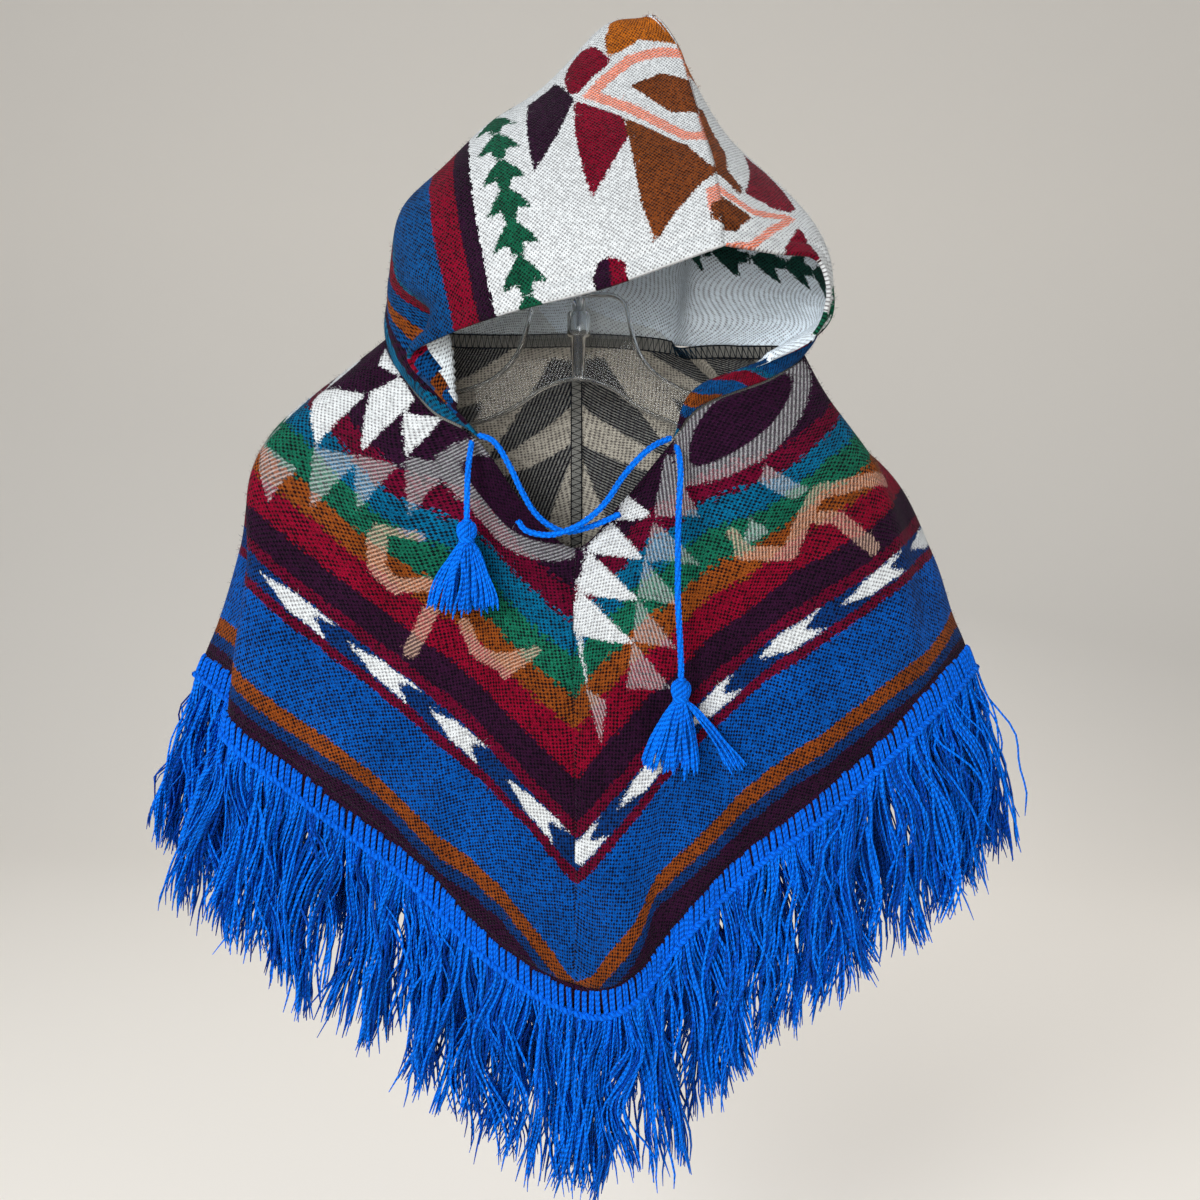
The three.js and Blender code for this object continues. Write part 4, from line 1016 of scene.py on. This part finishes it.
def hem_band(name, first, last):
    heap = Heap()
    start, end = (np.interp(line / len(BODY_LINES), edge_around, edge_run) for line in (first, last))
    start, end = start + BAND_END, end - BAND_END
    # the covered cloth edge
    run = np.linspace(start, end, max(int((end - start) / 3), 12))
    height = np.linspace(0.2, BAND_HEIGHT + 0.55, 6)
    r, h = np.meshgrid(run, height, indexing="ij")
    for lift, flip in ((0.0, True), (-CLOTH, False)):
        core = at_edge(r, h, lift).reshape(-1, 3)
        uv = np.stack([r.ravel(), h.ravel()], 1)
        heap.add((core, grid_faces(len(run), len(height), 0, flip), uv), EDGE)
    # whipstitches
    count = int((end - start) / STITCH_PITCH)
    centre = start + (np.arange(count) + 0.5) * (end - start) / count
    centre = centre + rng.normal(0, 0.12, count)
    top = STITCH_HEIGHT + rng.normal(0, 0.4, count) + 0.7 * np.sin(centre / 37) + 0.5 * np.sin(centre / 11.3)
    lean = rng.normal(0.5, 0.3, count)
    high, lift = np.transpose(STITCH_WAY)
    for strand in (-1, 1):
        offset = strand * STITCH_SPREAD + rng.normal(0, 0.07, count)
        across = centre[:, None] + offset[:, None] + lean[:, None] * high
        lifted = lift + rng.normal(0, 0.1, (count, 1)) * np.sign(lift)
        path = at_edge(across, high * top[:, None], lifted)
        heap.add(tubes(path, STITCH_YARN, 5, spin=rng.uniform(0, 6, count)), WHIP)
    # twisted braid along the edge, over the roots of the fringe
    run = np.linspace(start, end, int((end - start) / 0.8))
    wander = 0.25 * np.sin(run / 13) + 0.15 * np.sin(run / 5.1)
    for side_lift in (1.2, -3.0):
        for ply in (0, math.pi):
            angle = run * CIRCLE / BRAID_TURN + ply
            path = at_edge(run, -0.6 + wander + 0.75 * np.sin(angle), side_lift + 0.75 * np.cos(angle))
            heap.add(tubes([path], BRAID_PLY, 6), WHIP)
    # fringe, in clumps that draw together towards their ends
    count = int((end - start) / FRINGE_PITCH)
    place = start + (np.arange(count) + rng.uniform(0.1, 0.9, count)) * (end - start) / count
    depth = rng.choice([0.9, -0.4, -1.8, -2.9], count) + rng.normal(0, 0.25, count)
    root = at_edge(place, rng.uniform(-0.6, 1.6, count), depth)
    sizes = rng.integers(6, 26, count)
    clump = np.repeat(np.arange(count), sizes)[:count]
    clumps = clump[-1] + 1
    middle = np.array([root[clump == c].mean(0) for c in range(clumps)])
    pull = rng.uniform(0.0, 0.7, clumps)[clump]
    clump_lean = rng.normal(0, [6.0, 2.5, 0], (clumps, 3))[clump]
    clump_wave = rng.uniform(0, CIRCLE, (clumps, 2))[clump]
    clump_size = rng.uniform(0.8, 3.8, (clumps, 2))[clump]
    clump_rate = rng.uniform(3.5, 8.0, (clumps, 1))[clump]
    lean = rng.normal(0, [2.6, 2.0, 0], (count, 3))
    wild = rng.random(count) < WILD_SHARE
    lean[wild] += rng.normal(0, [10.0, 3.5, 0], (wild.sum(), 3))
    length = FRINGE_LENGTH * (1 + 0.06 * rng.normal(size=clumps)[clump]) + rng.normal(0, 3.0, count)
    length -= np.where(rng.random(count) < SHORT_SHARE, rng.uniform(0, 26, count), 0)
    length = np.clip(length, 45, FRINGE_LENGTH + 8)
    share = np.linspace(0, 1, FRINGE_STEPS)
    path = np.repeat(root[:, None, :], FRINGE_STEPS, axis=1)
    path[:, :, 2] -= length[:, None] * share
    path[:, :, 0] += root[:, 0, None] * FRINGE_FAN * share
    to_middle = (middle[clump] - root) * [1, 0.6, 0]
    path += to_middle[:, None, :] * (pull[:, None] * share**1.2)[..., None]
    path += (clump_lean + lean)[:, None, :] * share[None, :, None] ** 1.3
    wave = rng.uniform(0, CIRCLE, (count, 4))
    kink_rate = rng.uniform(12, 20, (count, 1))
    kink_size = rng.uniform(0.1, 0.9, (count, 1))
    for axis, big in ((0, 1.5), (1, 0.9)):
        slow = np.sin(share * clump_rate + clump_wave[:, axis, None]) * clump_size[:, axis, None] * big
        start_slow = np.sin(clump_wave[:, axis, None]) * clump_size[:, axis, None] * big
        own = np.sin(share * rng.uniform(7, 14, (count, 1)) + wave[:, axis, None])
        own *= rng.uniform(0.3, 1.4, (count, 1))
        kink = np.sin(share * kink_rate + wave[:, axis + 2, None]) * kink_size
        path[:, :, axis] += (slow - start_slow + own - own[:, :1] + kink) * np.minimum(share * 4, 1)
    level = np.zeros(count)
    outward = at_edge(place, level, 1.0) - at_edge(place, level, 0.0)
    push = np.clip(depth + 1.2, -1.5, 2.2) * rng.uniform(0.6, 2.0, count)
    path += outward[:, None, :] * (push[:, None] * np.sin(np.minimum(share * 3, 1.57)))[..., None]
    for axis, (least, most) in enumerate(FRINGE_REACH):
        path[:, :, axis] = np.clip(path[:, :, axis], least, most)
    taper = np.interp(share, [0, 0.9, 1], [1, 0.95, 0.35])
    radius = FRINGE_YARN * taper[None, :] * rng.uniform(0.8, 1.15, (count, 1))
    # strands rooted far back, and a fifth at random, take the darker copy of the yarn as painted shade
    shade = (rng.random(count) < 0.2) | (depth < -1.5)
    for these, kind in ((~shade, YARN), (shade, SHADED)):
        heap.add(tubes(path[these], radius[these], 3, spin=rng.uniform(0, 6, these.sum())), kind)
    piece = heap.mesh("hem_" + name + "_yarn", BAND_PARTS)
    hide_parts("hem_band_" + name)
    return piece


band_pieces = {name: hem_band(name, *ends) for name, ends in BANDS.items()}

# ---- tassels

TASSELS = dict(
    tassel_left=dict(top=(-45.5, -47, -173.2), lean=-2, splay=0),
    tassel_right=dict(top=(51.2, -51.8, -242.1), lean=-2, splay=16))
TASSEL_LENGTH, TASSEL_WIDTH, TASSEL_DEPTH = 42.0, 17.0, 5.0
TASSEL_STRANDS = 96
NECK_DROP, NECK_RADIUS = 8.6, 2.3      # of the bound neck, where the skirt starts
# Along a strand: its radius and drop on the head, and then its shares of the skirt's width and length
HEAD_WAY = [(0.9, 0.4), (2.9, 0.9), (4.0, 2.6), (4.1, 5.0), (3.3, 7.4), (2.4, 8.6)]
SKIRT_WAY = [(0.17, 0.12), (0.38, 0.28), (0.58, 0.44), (0.76, 0.62), (0.9, 0.8), (0.96, 0.92), (1.0, 1.0)]


def tassel(name, top, lean, splay):
    heap = Heap()
    angle = np.linspace(0, CIRCLE, TASSEL_STRANDS, endpoint=False) + rng.normal(0, 0.05, TASSEL_STRANDS)
    share = np.where(np.arange(TASSEL_STRANDS) % 3 == 0, rng.uniform(0.2, 0.7, TASSEL_STRANDS),
                     rng.uniform(0.75, 1.02, TASSEL_STRANDS))
    paths = []
    for k in range(TASSEL_STRANDS):
        c, s = math.cos(angle[k]), math.sin(angle[k])
        tuck = 0.55 + 0.45 * share[k]
        points = [(c * r * tuck, s * r * tuck, -drop) for r, drop in HEAD_WAY]
        side = c * share[k]
        sway = lean + (splay * rng.uniform(0.7, 1.1) if c > 0.72 and share[k] > 0.75 else 0)
        end = TASSEL_LENGTH - 4 * abs(side) - 7 * (1 - share[k]) + rng.normal(0, 1.4)
        curl = rng.normal(0, 0.5, 2)
        phase = rng.uniform(0, 6)
        for wide, along in SKIRT_WAY:
            x = side * TASSEL_WIDTH * wide * 0.94 + sway * along + curl[0] * math.sin(7 * along + phase)
            y = s * share[k] * TASSEL_DEPTH * wide + curl[1] * math.sin(6 * along + phase)
            neck = NECK_RADIUS * (1 - wide)
            points.append((c * neck + x, s * neck + y, -NECK_DROP - (end - NECK_DROP) * along))
        paths.append(np.add(points, top))
    fine = np.linspace(0, 1, 26)
    taper = np.interp(fine, [0, 0.94, 1], [1, 1, 0.4])
    heap.add(tubes([spline(p, fine) for p in paths], 0.56 * taper[None, :], 5, spin=angle))
    # wound binding at the neck of the head, and a small one on top where the cord is tied in
    for middle, turns, radius, width, wire in ((-8.4, 5, 3.15, 2.6, 0.5), (-0.5, 3, 1.75, 1.7, 0.6)):
        w = np.linspace(0, 1, 40 * turns)
        around = CIRCLE * turns * w
        coil = np.stack([radius * np.cos(around), radius * np.sin(around), middle + width * (w - 0.5)], 1)
        heap.add(tubes([coil + top], wire, 6))
    # the core inside the head and the top of the skirt, in the darker copy of the yarn as painted shade
    core, faces, uv = turned([(0.02, -0.2), (2.2, -0.9), (3.0, -3.0), (3.0, -5.5), (2.5, -8.6), (2.9, -12),
                              (0.02, -15)], 12)
    heap.add((core + top, faces, uv), 1)
    piece = heap.mesh(name + "_yarn", [yarn_blue, yarn_shaded])
    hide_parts(name)
    return piece


tassel_pieces = {name: tassel(name, **values) for name, values in TASSELS.items()}

# ---- seams

SEAM_RISE = 0.6          # of the overlock threads over the inside of the cloth
NECK_TAPE_FROM = -130    # the neck's tape ends at this height, above the V


def overlock(name, line, out, zig=2.6, pitch=1.9, tape=False):
    """An overlock stitch on a seam's line (n, 3): a zigzag thread between two edge threads, over a tape."""
    across = np.cross(unit(np.gradient(line, axis=0)), out)
    heap = Heap()
    if tape:
        heap.add(tubes([line], zig + 0.3, 10, flat=0.12, facing=out), 1)
    run = running_length(line)
    marks = np.arange(0, run[-1], pitch)
    place, side, up = (np.stack([np.interp(marks, run, rows[:, k]) for k in range(3)], 1)
                       for rows in (line, across, out))
    swing = np.where(np.arange(len(marks)) % 2 == 0, zig, -zig)
    heap.add(tubes([place + side * swing[:, None] + up * 0.7], 0.42, 4))
    for edge in (-zig, zig):
        heap.add(tubes([line + across * edge + out * 0.3], 0.3, 4))
    piece = heap.mesh(name, [thread_black, tape_pale])
    return piece


for name, column, tape in (("back", -1, True), ("front", 0, False)):
    points, out = (grid[column] for grid in half_surface["left"])
    overlock("seam_centre_" + name, points - out * (CLOTH + SEAM_RISE), -out, tape=tape)
points, out = (np.concatenate([left[:, -1], right[::-1, -1]]) for left, right in zip(*half_surface.values()))
above = points[:, 2] > NECK_TAPE_FROM
points, out = points[above], out[above]
overlock("seam_neck", points - out * (CLOTH + SEAM_RISE), -out, 3.2, 1.5, True)

# ---- the hanger and its hook

HANGER_UPPER = [(9, -61), (17, -61.5), (23, -66), (26, -77), (30, -89), (37, -98), (46, -104), (60, -109),
                (100, -122), (140, -135), (146, -138)]
HANGER_LOWER = [(147, -142), (144, -147), (100, -138), (66, -130), (43, -123), (28, -116), (18, -109),
                (8, -104.5), (0, -103)]
TOWER_HALF_WIDTH = 46
ARMS = dict(right=(1, 0.93, 0.05), left=(-1, 0.99, -0.04))      # side, reach and drop past the tower
RIM_HALF, RIM_DEPTH, WEB_HALF = 1.1, 3.5, 0.8


def arm(points, side, reach, drop):
    past = np.maximum(points[:, 0] - TOWER_HALF_WIDTH, 0)
    return np.stack([side * (points[:, 0] - past + past * reach), points[:, 1] - past * drop], 1)


upper = spline([(x, z, 0) for x, z in HANGER_UPPER], np.linspace(0, 1, 60))
lower = spline([(x, z, 0) for x, z in HANGER_LOWER], np.linspace(0, 1, 50))
half = np.concatenate([upper, lower])[:, :2]
outline = np.concatenate([arm(half, *ARMS["right"]), arm(half, *ARMS["left"])[:-1][::-1]])
way = unit(np.roll(outline, -1, axis=0) - np.roll(outline, 1, axis=0))
rim_line = outline + np.stack([way[:, 1], -way[:, 0]], 1) * RIM_HALF
rim_path = np.insert(rim_line, 1, 0, axis=1)
points, faces, uv = tubes([np.concatenate([rim_path, rim_path[:1]])], RIM_HALF, 20, flat=RIM_DEPTH / RIM_HALF,
                          facing=(0, 1, 0))
web = np.concatenate([rim_path - (0, WEB_HALF, 0), rim_path + (0, WEB_HALF, 0)])
web_front, web_back = len(points) + np.arange(len(web)).reshape(2, -1)


def plastic(name, alpha):
    return Paint(name).finish(Alpha=alpha, Base_Color=(0.9, 0.93, 0.95, 1), Transmission_Weight=1.0, IOR=1.46,
                              Roughness=0.04)


clear = plastic("hanger_plastic", 0.92)
web_clear = plastic("hanger_web", 0.08)
hanger = add_mesh("hanger_body", np.concatenate([points, web]), [*faces.tolist(), web_front, web_back[::-1]],
                  np.concatenate([uv, np.zeros((len(web), 2))]), [clear, web_clear],
                  [0] * len(faces) + [1, 1])
collar = add_mesh("hanger_collar", *turned([(2.1, -64), (3.0, -64), (3.3, -64.6), (3.4, -70), (5.0, -70.3),
                                            (5.6, -71), (5.6, -81), (5.0, -82), (3.4, -82.4), (3.2, -103),
                                            (2.0, -103.4), (0.0, -103.4)], 32, True), [clear])
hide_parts("hanger")

HOOK_WIRE, HOOK_RADIUS = 1.7, 19.0
bends = [(0, -79.5), (0, -66), (0, -56), (-1, -47), (-6, -38)]
bends += [(HOOK_RADIUS * math.cos(a), HOOK_WIRE - HOOK_RADIUS + HOOK_RADIUS * math.sin(a))
          for a in np.radians(np.arange(218, -29, -20.5))]
hook_line = spline([(x, 0, z) for x, z in bends], np.linspace(0, 1, 140))
heap = Heap()
heap.add(tubes([hook_line], HOOK_WIRE, 18))
polar = np.linspace(0.001, math.pi - 0.001, 13)
ball, faces, uv = turned(np.stack([np.sin(polar), np.cos(polar)], 1) * HOOK_WIRE * 1.5, 24)
heap.add((ball + hook_line[-1], faces, uv))
steel = Paint("hook_steel").finish(Base_Color=(0.72, 0.73, 0.75, 1), Metallic=1.0, Roughness=0.16)
hook = heap.mesh("hanger_hook_wire", [steel])
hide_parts("hanger_hook")

# ---- floor and backdrop, one curved sweep

FLOOR, BEND = -0.62, 1.3          # the floor's height, and the radius of its bend up into the backdrop
BEND_FROM = 1.1                   # where the bend starts, behind the object
angle = np.linspace(0, math.pi / 2, 40)
curve = np.stack([BEND_FROM + BEND * np.sin(angle), FLOOR + BEND * (1 - np.cos(angle))], 1)
profile = np.concatenate([[(-4.0, FLOOR)], curve, [(BEND_FROM + BEND, 4.0)]])
points = [(x, y, z) for x in (-4.5, 4.5) for y, z in profile]
mesh = bpy.data.meshes.new("sweep")
mesh.from_pydata(points, [], grid_faces(2, len(profile)).tolist())
mesh.polygons.foreach_set("use_smooth", np.ones(len(mesh.polygons), bool))
sweep = bpy.data.objects.new("sweep", mesh)
scene.collection.objects.link(sweep)
mesh.materials.append(Paint("paper").finish(Base_Color=(0.88, 0.83, 0.76, 1), Roughness=0.9))

# ---- the cords' far ends and lays, in a table, and their parts in model.glb hidden

CORD_FACTS = dict(       # far end, lay and the piece on it
    cord_left=("knot", "hanging", "tassel_left"), cord_right=("knot", "hanging", "tassel_right"),
    cord_left_inner=("bare", "loose", None), cord_right_inner=("bare", "loose", None))
for name, (far_end, lay, on) in CORD_FACTS.items():
    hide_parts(name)
